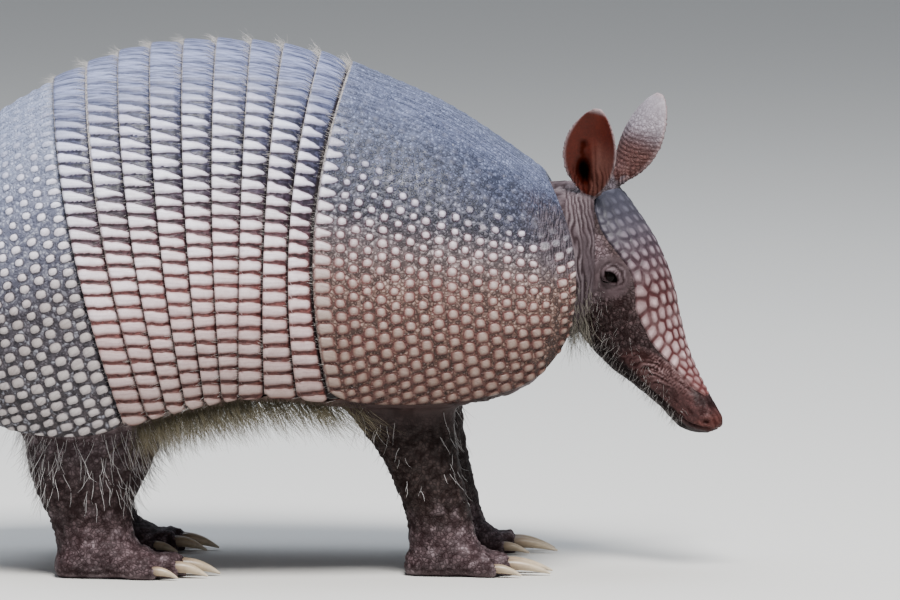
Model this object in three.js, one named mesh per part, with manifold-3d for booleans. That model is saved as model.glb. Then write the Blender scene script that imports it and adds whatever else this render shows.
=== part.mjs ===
// A nine-banded armadillo, life size, standing with its head lowered and turned to its right.
// Millimetres. +X points to the head, +Y to the animal's left, +Z up; the feet stand on z = 0.
import * as THREE from 'three';
import { mergeVertices } from 'three/addons/utils/BufferGeometryUtils.js';
import Module from 'manifold-3d';

const wasm = await Module();
wasm.setup();
const { clamp, degToRad, lerp } = THREE.MathUtils;
const vec = (x, y, z) => new THREE.Vector3(x, y, z);

// Driving dimensions
const GAP = 0.35; // clearance between pieces that touch in life
const SHELL_THICK = 2.4; // horn and bone of the carapace
const EDGE_LIFT = 1.5; // a plate's rear edge stands this far over the next plate
const SHELL_WRAP = degToRad(104); // from the ridge of the back to the shell's lower edge
const SHELL_FULLNESS = 0.9; // under 1 makes the flanks fuller than an ellipse
const ARC_STEPS = 20; // facets round the shell
const BELLY_DROP = 5; // the belly hangs this far below the shell's edges
const ANKLE_HEIGHT = 14; // leg and foot meet here
const HEAD_ORIGIN = vec(126, -5, 161); // crown of the head, between the ears
const HEAD_PITCH = degToRad(61);
const HEAD_YAW = degToRad(25);
const HEAD_ROLL = degToRad(10);
const EYE_RADIUS = 3.6;
const EYE_PLACE = { along: 37.3, around: degToRad(65.5), depth: 2.4 };
const EAR_THICK = 1.4;
// Each ear is carried a little differently. Base and lean are along the head, up and outwards.
const EARS = {
  right: { side: -1, base: [0, 6.3, 14.5], lean: [-0.683, 0.69, 0.2], length: 36, rear: 12.6, front: 11.4 },
  left: { side: 1, base: [-1.5, 6.5, 11], lean: [-0.66, 0.69, 0.5], length: 38, rear: 14, front: 10.5 },
};
const TAIL_BASE = vec(-162, 0, 99);
const TAIL_LENGTH = 305;
const TAIL_BASE_RADIUS = 19;
const TAIL_TIP_RADIUS = 2.6;
const TAIL_LANDING = 0.64; // share of the tail's length that is off the floor
const RINGED_TAIL = 0.6; // share of the tail's length that carries rings
const TAIL_BEND = 34; // sideways curve of the tail's end
const TAIL_RINGS = 12;
const CLAW_SIDES = 5;

// Carapace stations from the front margin to the rear one. Station 4 is the rear edge of the
// shoulder shield, 5 to 13 are the rear edges of the nine bands, and 17 is the margin over the
// tail. Columns: ridge x and z, lower edge x and z, bow of the side line, half-width.
const SHOULDER_END = 4;
const BANDS = 9;
const STATIONS = [
  [104, 167, 111.5, 98, 8, 48],
  [84, 181.5, 98, 84, 5, 59],
  [63, 195, 77, 77, 1, 66],
  [42, 205, 49, 74.5, -4.5, 70.5],
  [21, 212.5, 14, 75.5, -11, 73.5],
  [8.8, 216.5, 0.5, 77, -8, 75],
  [-6.7, 219.8, -13.4, 77.5, -3.5, 76],
  [-20.2, 221.5, -24.4, 77, -1.2, 76.5],
  [-34.9, 222.3, -31.5, 76, -2, 76.5],
  [-48.7, 221.8, -38.6, 74.5, -2.5, 76.5],
  [-62.6, 220.3, -46.2, 72.8, -3, 76.5],
  [-76, 217.3, -53.8, 71, -4, 76.5],
  [-90, 212.4, -62.2, 68.5, -4.5, 76],
  [-103, 206.3, -71.4, 65.5, -4.8, 75],
  [-126, 193.5, -90, 61.5, -5, 73],
  [-148, 175, -110, 61.5, -5, 67],
  [-165, 150, -129, 66, -4, 57],
  [-173, 124, -145, 77, -2, 44],
];
const REAR_END = STATIONS.length - 1;

// Head stations from the crown to the nose: distance along the head, height of the section's
// middle over the head's axis, half-height, half-width.
const HEAD_STATIONS = [
  [-6, -2.6, 6, 9],
  [-2, -5.7, 10.3, 16],
  [4.1, -9.6, 14.2, 20],
  [14.3, -12.3, 19, 21],
  [26.6, -13.6, 22.4, 21],
  [38.9, -14.6, 23.8, 20],
  [51.1, -15.5, 23.5, 18],
  [61.3, -15.6, 21, 15.2],
  [71.6, -14.8, 17.6, 12.8],
  [81.8, -12.8, 14, 10.7],
  [92, -10.3, 11.2, 9.2],
  [99.5, -8.4, 10.4, 8.4],
  [106.5, -6.6, 9.4, 7.4],
  [111, -4.2, 7.2, 6],
  [114.3, -1.6, 3.6, 3.6],
];

// Leg sections, top to bottom: height, centre x, distance from the middle plane, half-sizes.
const FORELEG = [
  [94, 39, 33, 23, 16],
  [74, 41, 38, 24, 17],
  [60, 46, 39, 19.5, 15],
  [48, 51, 39.5, 16, 13.5],
  [36, 55, 40, 14.5, 12.5],
  [24, 58.5, 40.5, 14, 12],
  [8, 61, 41, 15, 12.5],
];
const HINDLEG = [
  [97, -83, 34, 32, 18],
  [74, -85, 41, 33.5, 21],
  [60, -86.5, 43.5, 30, 19.5],
  [46, -88.6, 45, 25.6, 17],
  [33, -89.7, 46, 20.4, 14.5],
  [24, -88, 46.5, 17.5, 13],
  [8, -84, 47, 17, 13.5],
];
// Foot pads, heel to toes: x from the ankle, half-width, height. Toes: place across the foot,
// where the toe starts and ends forward of the ankle, spread angle, radius, claw length.
const FOREFOOT = {
  pad: [[-17, 6, 7], [-12, 10.5, 13], [-2, 13, 18], [8, 14, 17], [16, 13.5, 12], [20, 11, 8]],
  toes: [[-10.5, 12, 23, -9, 3.6, 10], [-3.8, 15, 28, -2, 4.4, 17],
    [3.8, 15, 28, 3, 4.4, 16], [10.5, 11, 22, 10, 3.6, 10]],
};
const HINDFOOT = {
  pad: [[-19, 7, 8], [-14, 12, 14], [-2, 15, 19], [10, 17, 16], [20, 17, 12], [25, 13, 8]],
  toes: [[-13.5, 12, 24, -10, 3.6, 9], [-7.5, 19, 33, -4, 4.5, 12],
    [0, 21, 36, 0, 4.8, 14], [7.5, 19, 33, 4, 4.5, 12], [13.5, 12, 24, 10, 3.6, 9]],
};
const FAR_SHIFT = { fore: 3, hind: -3 }; // the left feet stand this far ahead of the right ones

// Smooth interpolation of a table's columns at a fractional row
function tableAt(table, row) {
  const last = table.length - 1;
  const k = clamp(Math.floor(row), 0, last - 1);
  const t = row - k;
  const at = (i, c) => table[clamp(i, 0, last)][c];
  return table[0].map((_, c) => {
    const [a, b, d, e] = [at(k - 1, c), at(k, c), at(k + 1, c), at(k + 2, c)];
    const slope0 = (d - a) / 2;
    const slope1 = (e - b) / 2;
    return b + slope0 * t + (3 * (d - b) - 2 * slope0 - slope1) * t * t
      + (2 * (b - d) + slope0 + slope1) * t * t * t;
  });
}

// Closed geometry from points and triangles, turned so that its faces point out
function closedGeometry(points, triangles) {
  let volume = 0;
  for (const [a, b, c] of triangles) {
    volume += points[a].dot(vec().crossVectors(points[b], points[c]));
  }
  const order = volume > 0 ? triangles : triangles.map(([a, b, c]) => [a, c, b]);
  const geometry = new THREE.BufferGeometry().setFromPoints(points);
  geometry.setIndex(order.flat());
  return geometry;
}

// Closed body through rings of points, with a fan over each end
function loft(rings) {
  const count = rings[0].length;
  const points = rings.flat();
  const triangles = [];
  for (let i = 0; i < rings.length - 1; i += 1) {
    for (let j = 0; j < count; j += 1) {
      const k = (j + 1) % count;
      const [a, b, c, d] = [i * count + j, i * count + k, (i + 1) * count + k, (i + 1) * count + j];
      triangles.push([a, b, c], [a, c, d]);
    }
  }
  for (const [ring, flip] of [[0, true], [rings.length - 1, false]]) {
    const centre = vec();
    rings[ring].forEach((p) => centre.addScaledVector(p, 1 / count));
    points.push(centre);
    for (let j = 0; j < count; j += 1) {
      const [a, b] = [ring * count + j, ring * count + ((j + 1) % count)];
      triangles.push(flip ? [points.length - 1, b, a] : [points.length - 1, a, b]);
    }
  }
  return closedGeometry(points, triangles);
}

// Closed plate between an outer and an inner sheet of points: sheet(u, v, side), u and v 0 to 1
function plate(rows, columns, sheet) {
  const points = [];
  for (const side of [0, 1]) {
    for (let i = 0; i <= rows; i += 1) {
      for (let j = 0; j <= columns; j += 1) points.push(sheet(i / rows, j / columns, side));
    }
  }
  const width = columns + 1;
  const inner = (rows + 1) * width;
  const triangles = [];
  const quad = (a, b, c, d) => triangles.push([a, b, c], [a, c, d]);
  for (let i = 0; i < rows; i += 1) {
    for (let j = 0; j < columns; j += 1) {
      const a = i * width + j;
      quad(a, a + 1, a + width + 1, a + width);
      quad(inner + a, inner + a + width, inner + a + width + 1, inner + a + 1);
    }
    const [a, b] = [i * width, i * width + columns];
    quad(a, a + width, inner + a + width, inner + a);
    quad(b + width, b, inner + b, inner + b + width);
  }
  for (let j = 0; j < columns; j += 1) {
    const b = rows * width + j;
    quad(j + 1, j, inner + j, inner + j + 1);
    quad(b, b + 1, inner + b + 1, inner + b);
  }
  return closedGeometry(points, triangles);
}

function toSolid(geometry) {
  const clean = geometry.clone();
  clean.deleteAttribute('normal');
  clean.deleteAttribute('uv');
  const merged = mergeVertices(clean, 1e-4);
  const mesh = new wasm.Mesh({
    numProp: 3,
    vertProperties: new Float32Array(merged.attributes.position.array),
    triVerts: new Uint32Array(merged.index.array),
  });
  return new wasm.Manifold(mesh);
}

// The largest body of a solid, as a geometry without sliver faces
function toGeometry(solid) {
  const bodies = solid.decompose().sort((a, b) => b.volume() - a.volume());
  const mesh = bodies[0].simplify(0.02).getMesh();
  const geometry = new THREE.BufferGeometry();
  geometry.setAttribute('position', new THREE.BufferAttribute(mesh.vertProperties, 3));
  geometry.setIndex(new THREE.BufferAttribute(mesh.triVerts, 1));
  return geometry;
}

const group = new THREE.Group();
const LOOKS = {
  shell: { color: 0x8f8a8e, roughness: 0.6, metalness: 0 },
  skin: { color: 0x4a3c3c, roughness: 0.75, metalness: 0 },
  scale: { color: 0x8a7474, roughness: 0.6, metalness: 0 },
  ear: { color: 0x7d6a70, roughness: 0.7, metalness: 0 },
  eye: { color: 0x0c0a0a, roughness: 0.08, metalness: 0 },
  claw: { color: 0x9c8a72, roughness: 0.45, metalness: 0 },
};

function piece(name, geometry, look) {
  const flat = geometry.index ? geometry.toNonIndexed() : geometry;
  flat.computeVertexNormals();
  const mesh = new THREE.Mesh(flat, new THREE.MeshStandardMaterial(LOOKS[look]));
  mesh.name = name;
  group.add(mesh);
}

// Carapace surface: v is the station, a the angle from the ridge (right side negative)
function shellCurve(v, a) {
  const [ridgeX, ridgeZ, edgeX, edgeZ, bow, halfWidth] = tableAt(STATIONS, v);
  const fall = (1 - Math.cos(a)) / (1 - Math.cos(SHELL_WRAP));
  return vec(
    lerp(ridgeX, edgeX, fall) + 4 * bow * fall * (1 - fall),
    Math.sign(a) * halfWidth * Math.abs(Math.sin(a)) ** SHELL_FULLNESS,
    lerp(ridgeZ, edgeZ, fall),
  );
}

function shellPoint(v, a, lift) {
  const step = 0.02;
  const along = shellCurve(v - step, a).sub(shellCurve(v + step, a));
  const around = shellCurve(v, a + step).sub(shellCurve(v, a - step));
  return shellCurve(v, a).addScaledVector(along.cross(around).normalize(), lift);
}

// The same surface in flat facets from station to station, so that neighbours keep their gap
function shellFacet(v, a, lift) {
  const k = clamp(Math.floor(v), 0, REAR_END - 1);
  return shellPoint(k, a, lift).lerp(shellPoint(k + 1, a, lift), v - k);
}

// One plate of the carapace between two stations; its rear edge is lifted over the next plate
function shellPlate(from, to) {
  const margin = 0.012;
  return plate(to - from, ARC_STEPS, (u, w, side) => {
    const a = lerp(-SHELL_WRAP, SHELL_WRAP, w);
    const lift = side === 0 ? EDGE_LIFT * u ** 2 : -SHELL_THICK;
    const v = Math.round(lerp(from, to, u));
    return shellFacet(clamp(v, from + margin, to - margin), a, lift);
  });
}

function buildShell() {
  piece('shoulder_shield', shellPlate(0, SHOULDER_END), 'shell');
  for (let i = 0; i < BANDS; i += 1) {
    piece(`band_${i + 1}`, shellPlate(SHOULDER_END + i, SHOULDER_END + i + 1), 'shell');
  }
  piece('pelvic_shield', shellPlate(SHOULDER_END + BANDS, REAR_END), 'shell');
}

// Trunk: fills the carapace and closes below with the belly; grow widens it into a cutter
function trunkLoft(grow) {
  const bellySteps = 6;
  const first = 0.45;
  const last = REAR_END - 0.5;
  const stops = [first - grow / 30];
  for (let v = 1; v < last; v += 1) stops.push(v);
  stops.push(last + grow / 30);
  return loft(stops.map((v) => {
    const ring = [];
    for (let j = 0; j <= ARC_STEPS; j += 1) {
      const a = lerp(-SHELL_WRAP, SHELL_WRAP, j / ARC_STEPS);
      ring.push(shellFacet(v, a, grow - SHELL_THICK - 2 * GAP));
    }
    const edge = ring[ARC_STEPS];
    for (let j = 1; j < bellySteps; j += 1) {
      const b = Math.PI * (j / bellySteps);
      const drop = (BELLY_DROP + grow) * Math.sin(b) ** 0.8;
      ring.push(vec(edge.x, edge.y * Math.cos(b), edge.z - drop));
    }
    return ring;
  }));
}

// Head frame: along runs from the crown to the nose, up through the forehead, side to the left
const HEAD_AXES = (() => {
  const along = vec(
    Math.cos(HEAD_PITCH) * Math.cos(HEAD_YAW),
    -Math.cos(HEAD_PITCH) * Math.sin(HEAD_YAW),
    -Math.sin(HEAD_PITCH),
  );
  const level = vec(Math.sin(HEAD_YAW), Math.cos(HEAD_YAW), 0);
  const up = vec().crossVectors(along, level).applyAxisAngle(along, HEAD_ROLL);
  return { along, up, side: level.applyAxisAngle(along, HEAD_ROLL) };
})();

function headPlace(along, up, side) {
  return HEAD_ORIGIN.clone().addScaledVector(HEAD_AXES.along, along)
    .addScaledVector(HEAD_AXES.up, up).addScaledVector(HEAD_AXES.side, side);
}

// Point of the head's surface at a fractional row of its table; around is 0 on the forehead
function headPoint(row, around, grow) {
  const [along, middle, halfHeight, halfWidth] = tableAt(HEAD_STATIONS, row);
  const jaw = 1 - 0.22 * ((1 - Math.cos(around)) / 2) ** 1.5;
  const soft = (value) => Math.sign(value) * Math.abs(value) ** 0.92;
  return headPlace(along, middle + (halfHeight + grow) * soft(Math.cos(around)),
    (halfWidth + grow) * jaw * soft(Math.sin(around)));
}

function headLoft(grow) {
  const sides = 20;
  const rings = HEAD_STATIONS.map((_, row) => Array.from({ length: sides }, (unused, j) => (
    headPoint(row, (2 * Math.PI * j) / sides, grow))));
  const ends = [[0, -1], [HEAD_STATIONS.length - 1, 1]];
  ends.forEach(([row, way]) => rings[row].forEach((p) => (
    p.addScaledVector(HEAD_AXES.along, way * grow))));
  return loft(rings);
}

// Row of the head's table at a distance along the head
function headRow(along) {
  const row = HEAD_STATIONS.findIndex((station) => station[0] > along) - 1;
  const [start, end] = [HEAD_STATIONS[row][0], HEAD_STATIONS[row + 1][0]];
  return row + (along - start) / (end - start);
}

function eyeCentre(side) {
  const around = side * EYE_PLACE.around;
  return headPoint(headRow(EYE_PLACE.along), around, -EYE_PLACE.depth);
}

function ball(centre, radius) {
  const sphere = new THREE.SphereGeometry(radius, 10, 8);
  sphere.translate(centre.x, centre.y, centre.z);
  return sphere;
}

// Ear: a cupped leaf that opens outwards, widest at its middle
function earPlate(ear) {
  const outwards = ([along, up, side]) => headPlace(along, up, side * ear.side);
  const lean = outwards(ear.lean).sub(HEAD_ORIGIN).normalize();
  const open = outwards([0.35, 0, 1]).sub(HEAD_ORIGIN);
  open.addScaledVector(lean, -open.dot(lean)).normalize();
  const across = vec().crossVectors(lean, open);
  const rootLength = 2;
  return plate(6, 6, (u, w, face) => {
    const turn = (w - 0.5) * 2;
    const reach = turn * ear.side > 0 ? ear.rear : ear.front;
    const width = reach * Math.sin(Math.PI * (0.04 + 0.92 * u)) ** 0.7;
    const cup = 0.42 * width * turn * turn * (1.25 - u * 0.7);
    return outwards(ear.base).addScaledVector(lean, lerp(-rootLength, ear.length, u))
      .addScaledVector(across, width * turn)
      .addScaledVector(open, cup - face * EAR_THICK);
  });
}

// Neck: a short soft cylinder between the trunk and the back of the head
function neckLoft() {
  const sides = 14;
  const sections = [[86, 128, 36, 45], [100, 128.5, 34.5, 41], [112, 130, 33.5, 34], [124, 134, 30, 22]];
  return loft(sections.map(([x, z, halfHeight, halfWidth]) => Array.from(
    { length: sides },
    (_, j) => {
      const b = (2 * Math.PI * j) / sides;
      return vec(x, -0.12 * (x - 86) + halfWidth * Math.sin(b), z + halfHeight * Math.cos(b));
    },
  )));
}

function buildHead() {
  const trunk = toSolid(trunkLoft(GAP));
  const headCutter = toSolid(headLoft(GAP));
  let head = toSolid(headLoft(0));
  const neck = toSolid(neckLoft()).subtract(trunk).subtract(headCutter);
  for (const [name, ear] of Object.entries(EARS)) {
    const eye = eyeCentre(ear.side);
    head = head.subtract(toSolid(ball(eye, EYE_RADIUS + GAP)));
    piece(`eye_${name}`, ball(eye, EYE_RADIUS), 'eye');
    piece(`ear_${name}`, toGeometry(toSolid(earPlate(ear)).subtract(headCutter)), 'ear');
  }
  piece('head', toGeometry(head), 'skin');
  piece('neck', toGeometry(neck), 'skin');
  piece('head_shield', plate(8, 6, (u, w, side) => {
    const along = lerp(9, 97, u);
    const reach = degToRad(52) * Math.sin(Math.PI * (0.07 + 0.83 * u)) ** 0.35;
    return headPoint(headRow(along), lerp(-reach, reach, w), side === 0 ? 2 * GAP + 1.2 : 2 * GAP);
  }), 'scale');
}

function legLoft(sections, side, shift) {
  const sides = 12;
  return loft(sections.map(([z, x, y, halfX, halfY]) => Array.from({ length: sides }, (_, j) => {
    const b = (2 * Math.PI * j) / sides;
    return vec(x + shift + halfX * Math.cos(b), side * y + halfY * Math.sin(b), z);
  })));
}

// A round-topped section across a foot or toe at x, flat where it meets the floor
function solePoints(x, y, halfWidth, height, sides) {
  return Array.from({ length: sides }, (_, j) => {
    const b = (2 * Math.PI * (j + 0.5)) / sides;
    const z = height * (0.42 + 0.58 * Math.cos(b));
    return vec(x, y + halfWidth * Math.sin(b), Math.max(z, 0));
  });
}

function footPad(foot, x, y) {
  return loft(foot.pad.map(([dx, halfWidth, height]) => (
    solePoints(x + dx, y, halfWidth, height, 10))));
}

function toeDirection(spread, side) {
  const angle = side * degToRad(spread);
  return vec(Math.cos(angle), Math.sin(angle), 0);
}

// A toe from inside the pad to where its claw starts
function toeLoft(x, y, toe, side) {
  const [across, start, end, spread, radius] = toe;
  const way = toeDirection(spread, side);
  const stops = [[0, 0.95], [0.8, 1.05], [1, 0.7]];
  return loft(stops.map(([share, swell]) => {
    const at = way.clone().multiplyScalar(lerp(start, end, share) - start);
    const centre = vec(x + start + at.x, y + side * across + at.y, 0);
    return solePoints(centre.x, centre.y, radius * swell, radius * 2.1 * swell, 6);
  }));
}

// A claw, curved down to just over the floor
function clawLoft(x, y, toe, side) {
  const [across, start, end, spread, radius, length] = toe;
  const way = toeDirection(spread, side);
  const level = vec(-way.y, way.x, 0);
  const root = vec(x + start, y + side * across, 0).addScaledVector(way, end - start + GAP);
  const stops = [0, 0.4, 0.75, 1];
  return loft(stops.map((share) => {
    const size = radius * 0.62 * (1 - 0.86 * share ** 1.6);
    const centre = root.clone().addScaledVector(way, length * share);
    centre.z = radius * 1.05 - (radius * 1.05 - 1) * share ** 1.8;
    return Array.from({ length: CLAW_SIDES }, (_, j) => {
      const b = (2 * Math.PI * j) / CLAW_SIDES;
      return centre.clone().addScaledVector(level, size * Math.sin(b))
        .add(vec(0, 0, size * 0.85 * Math.cos(b)));
    });
  }));
}

function buildLegs() {
  const trunk = toSolid(trunkLoft(GAP));
  const limbs = [
    ['fore', FORELEG, FOREFOOT, FAR_SHIFT.fore],
    ['hind', HINDLEG, HINDFOOT, FAR_SHIFT.hind],
  ];
  for (const [end, sections, foot, farShift] of limbs) {
    for (const [name, side] of [['right', -1], ['left', 1]]) {
      const shift = side > 0 ? farShift : 0;
      const [, ankleX, ankleY] = sections[sections.length - 1];
      const [x, y] = [ankleX + shift, side * ankleY];
      const leg = toSolid(legLoft(sections, side, shift)).subtract(trunk);
      piece(`${end}leg_${name}`,
        toGeometry(leg.trimByPlane([0, 0, 1], ANKLE_HEIGHT + GAP / 2)), 'skin');
      let sole = toSolid(footPad(foot, x, y)).add(leg);
      foot.toes.forEach((toe, i) => {
        sole = sole.add(toSolid(toeLoft(x, y, toe, side)));
        piece(`claw_${end}_${name}_${i + 1}`, clawLoft(x, y, toe, side), 'claw');
      });
      piece(`${end}foot_${name}`,
        toGeometry(sole.trimByPlane([0, 0, -1], GAP / 2 - ANKLE_HEIGHT)), 'skin');
    }
  }
}

// Tail: leaves the rump, sinks to the floor and lies along it
function tailRadius(s) {
  return lerp(TAIL_BASE_RADIUS, TAIL_TIP_RADIUS, s ** 0.8);
}

// Points along the tail's middle line at equal steps of its length
function tailCentres(steps) {
  const centres = [];
  const step = TAIL_LENGTH / steps;
  let x = TAIL_BASE.x;
  for (let i = 0; i <= steps; i += 1) {
    const s = i / steps;
    const rest = tailRadius(Math.max(s, TAIL_LANDING)) - 0.3;
    const hang = Math.max(0, 1 - s / TAIL_LANDING) ** 1.5;
    const z = rest + (TAIL_BASE.z - tailRadius(TAIL_LANDING)) * hang;
    const y = TAIL_BEND * s ** 2.4;
    if (i > 0) {
      const last = centres[i - 1];
      x -= Math.sqrt(step ** 2 - (z - last.z) ** 2 - (y - last.y) ** 2);
    }
    centres.push(vec(x, y, z));
  }
  return centres;
}

function buildTail() {
  const steps = 120;
  const sides = 12;
  const centres = tailCentres(steps);
  const centreAt = (s) => {
    const i = clamp(Math.floor(s * steps), 0, steps - 1);
    return centres[i].clone().lerp(centres[i + 1], s * steps - i);
  };
  const ringAt = (s, swell) => {
    const way = centreAt(s + 0.01).sub(centreAt(s - 0.01)).normalize();
    const level = vec().crossVectors(vec(0, 0, 1), way).normalize();
    const up = vec().crossVectors(way, level);
    const radius = tailRadius(s) * swell;
    return Array.from({ length: sides }, (_, j) => {
      const b = (2 * Math.PI * (j + 0.5)) / sides;
      const p = centreAt(s).addScaledVector(level, radius * Math.sin(b))
        .addScaledVector(up, radius * Math.cos(b));
      p.z = Math.max(p.z, 0);
      return p;
    });
  };
  const trunk = toSolid(trunkLoft(GAP));
  const inset = GAP / TAIL_LENGTH;
  for (let k = 0; k < TAIL_RINGS; k += 1) {
    const start = (RINGED_TAIL * k) / TAIL_RINGS + inset;
    const end = (RINGED_TAIL * (k + 1)) / TAIL_RINGS - inset;
    const ring = loft([ringAt(start, 0.97), ringAt(end, 1.04)]);
    piece(`tail_ring_${k + 1}`, k === 0 ? toGeometry(toSolid(ring).subtract(trunk)) : ring, 'scale');
  }
  const stops = [[RINGED_TAIL + inset, 1], [0.68, 1], [0.76, 1], [0.84, 1], [0.92, 1], [0.97, 0.9],
    [0.99, 0.6]];
  piece('tail_tip', loft(stops.map(([s, swell]) => ringAt(s, swell))), 'scale');
}

piece('trunk', trunkLoft(0), 'skin');
buildShell();
buildHead();
buildLegs();
buildTail();

// The part's origin is the middle of its footprint, on the floor
const box = new THREE.Box3().setFromObject(group);
group.position.set(-(box.min.x + box.max.x) / 2, -(box.min.y + box.max.y) / 2, 0);

export default group;
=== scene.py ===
# A nine-banded armadillo, standing with its head lowered: scutes, skin, claws and hair.
# Shapes are worked out in millimetres in the animal's own frame, then placed on the frame's nodes.
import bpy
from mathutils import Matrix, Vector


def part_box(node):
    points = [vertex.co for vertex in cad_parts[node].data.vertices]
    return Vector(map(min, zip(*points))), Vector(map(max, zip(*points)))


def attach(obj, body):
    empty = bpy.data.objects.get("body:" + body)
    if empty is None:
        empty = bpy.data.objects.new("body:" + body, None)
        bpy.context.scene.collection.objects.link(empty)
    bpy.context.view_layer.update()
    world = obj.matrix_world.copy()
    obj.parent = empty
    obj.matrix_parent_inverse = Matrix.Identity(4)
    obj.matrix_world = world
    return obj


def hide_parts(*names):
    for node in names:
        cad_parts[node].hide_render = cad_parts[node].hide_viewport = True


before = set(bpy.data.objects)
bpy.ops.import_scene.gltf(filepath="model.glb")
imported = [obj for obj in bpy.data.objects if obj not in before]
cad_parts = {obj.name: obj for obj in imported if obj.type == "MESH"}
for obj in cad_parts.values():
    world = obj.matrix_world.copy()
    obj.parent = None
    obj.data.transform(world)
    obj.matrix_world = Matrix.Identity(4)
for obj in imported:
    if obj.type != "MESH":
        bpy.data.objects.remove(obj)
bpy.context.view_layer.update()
import math
from types import SimpleNamespace

import bpy
import numpy as np
from mathutils import Vector

rng = np.random.default_rng(7)
MM = 0.001

# ---------------------------------------------------------------- driving dimensions (mm)
EDGE_LIFT = 1.5          # a plate's rear edge stands this far over the next plate
SHELL_WRAP = math.radians(104)
SHELL_FULLNESS = 0.9
SHOULDER_END = 4
BANDS = 9
STATIONS = np.array([
    # ridge x, ridge z, edge x, edge z, bow, half-width
    [104, 167, 111.5, 98, 8, 48],
    [84, 181.5, 98, 84, 5, 59],
    [63, 195, 77, 77, 1, 66],
    [42, 205, 49, 74.5, -4.5, 70.5],
    [21, 212.5, 14, 75.5, -11, 73.5],
    [8.8, 216.5, 0.5, 77, -8, 75],
    [-6.7, 219.8, -13.4, 77.5, -3.5, 76],
    [-20.2, 221.5, -24.4, 77, -1.2, 76.5],
    [-34.9, 222.3, -31.5, 76, -2, 76.5],
    [-48.7, 221.8, -38.6, 74.5, -2.5, 76.5],
    [-62.6, 220.3, -46.2, 72.8, -3, 76.5],
    [-76, 217.3, -53.8, 71, -4, 76.5],
    [-90, 212.4, -62.2, 68.5, -4.5, 76],
    [-103, 206.3, -71.4, 65.5, -4.8, 75],
    [-126, 193.5, -90, 61.5, -5, 73],
    [-148, 175, -110, 61.5, -5, 67],
    [-165, 150, -129, 66, -4, 57],
    [-173, 124, -145, 77, -2, 44],
], float)
REAR_END = len(STATIONS) - 1

HEAD_ORIGIN = np.array([126.0, -5.0, 161.0])
HEAD_PITCH, HEAD_YAW, HEAD_ROLL = (math.radians(d) for d in (61, 25, 10))
HEAD_STATIONS = np.array([
    # along, section middle, half-height, half-width
    [-6, -2.6, 6, 9],
    [-2, -5.7, 10.3, 16],
    [4.1, -9.6, 14.2, 20],
    [14.3, -12.3, 19, 21],
    [26.6, -13.6, 22.4, 21],
    [38.9, -14.6, 23.8, 20],
    [51.1, -15.5, 23.5, 18],
    [61.3, -15.6, 21, 15.2],
    [71.6, -14.8, 17.6, 12.8],
    [81.8, -12.8, 14, 10.7],
    [92, -10.3, 11.2, 9.2],
    [99.5, -8.4, 10.4, 8.4],
    [106.5, -6.6, 9.4, 7.4],
    [111, -4.2, 7.2, 6],
    [114.3, -1.6, 3.6, 3.6],
], float)
EYE_RADIUS = 3.6
HEAD_EXPONENT = 0.92     # below 1, the head's sections are a little square
EYE_ALONG, EYE_AROUND, EYE_DEPTH = 37.3, math.radians(65.5), 2.4
EYE_SLIT = dict(along=38.5, around=math.radians(62.5), half=3.3, upper=1.75, lower=1.25)


# ---------------------------------------------------------------- shape functions
def table_at(table, row):
    """Smooth interpolation of a table's columns at fractional rows."""
    row = np.asarray(row, float)
    last = len(table) - 1
    k = np.clip(np.floor(row).astype(int), 0, last - 1)
    t = (row - k)[..., None]
    before, start, end, after = (table[np.clip(k + i, 0, last)] for i in (-1, 0, 1, 2))
    slope0, slope1 = (end - before) / 2, (after - start) / 2
    return (start + slope0 * t + (3 * (end - start) - 2 * slope0 - slope1) * t ** 2
            + (2 * (start - end) + slope0 + slope1) * t ** 3)


def smooth(x, low=0.0, high=1.0):
    t = np.clip((x - low) / (high - low), 0, 1)
    return t * t * (3 - 2 * t)


def bell(x, width):
    return np.exp(-(x / width) ** 2)


def lerp(a, b, t):
    return a + (b - a) * t


def unit(v):
    return v / np.maximum(np.linalg.norm(v, axis=-1, keepdims=True), 1e-9)


def signed_power(x, p):
    return np.sign(x) * np.abs(x) ** p


def shell_curve(v, a):
    """Carapace surface at station v and angle a from the ridge (the right side negative)."""
    row = table_at(STATIONS, v)
    fall = (1 - np.cos(a)) / (1 - math.cos(SHELL_WRAP))
    x = lerp(row[..., 0], row[..., 2], fall) + 4 * row[..., 4] * fall * (1 - fall)
    y = row[..., 5] * signed_power(np.sin(a), SHELL_FULLNESS)
    return np.stack([x, y, lerp(row[..., 1], row[..., 3], fall)], -1)


def shell_point(v, a, lift):
    step = 0.02
    along = shell_curve(v - step, a) - shell_curve(v + step, a)
    around = shell_curve(v, a + step) - shell_curve(v, a - step)
    return shell_curve(v, a) + unit(np.cross(along, around)) * np.asarray(lift)[..., None]


def arc_table(v):
    """Angles and arc lengths from the ridge to the lower edge at one station."""
    a = np.linspace(0, SHELL_WRAP, 160)
    points = shell_curve(np.full_like(a, v), a)
    steps = np.linalg.norm(np.diff(points, axis=0), axis=1)
    return a, np.concatenate([[0], np.cumsum(steps)])


def hash_unit(*keys):
    """Repeatable random numbers from 0 to 1 for arrays of whole numbers."""
    h = np.zeros(np.broadcast(*keys).shape, np.uint64)
    for k, factor in zip(keys, (73856093, 19349663, 83492791)):
        h = h ^ (np.asarray(k).astype(np.int64).astype(np.uint64) * np.uint64(factor))
    h = (h ^ (h >> np.uint64(13))) * np.uint64(1274126177)
    h = (h ^ (h >> np.uint64(16))) & np.uint64(0xFFFFFF)
    return h.astype(float) / 0xFFFFFF


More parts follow.
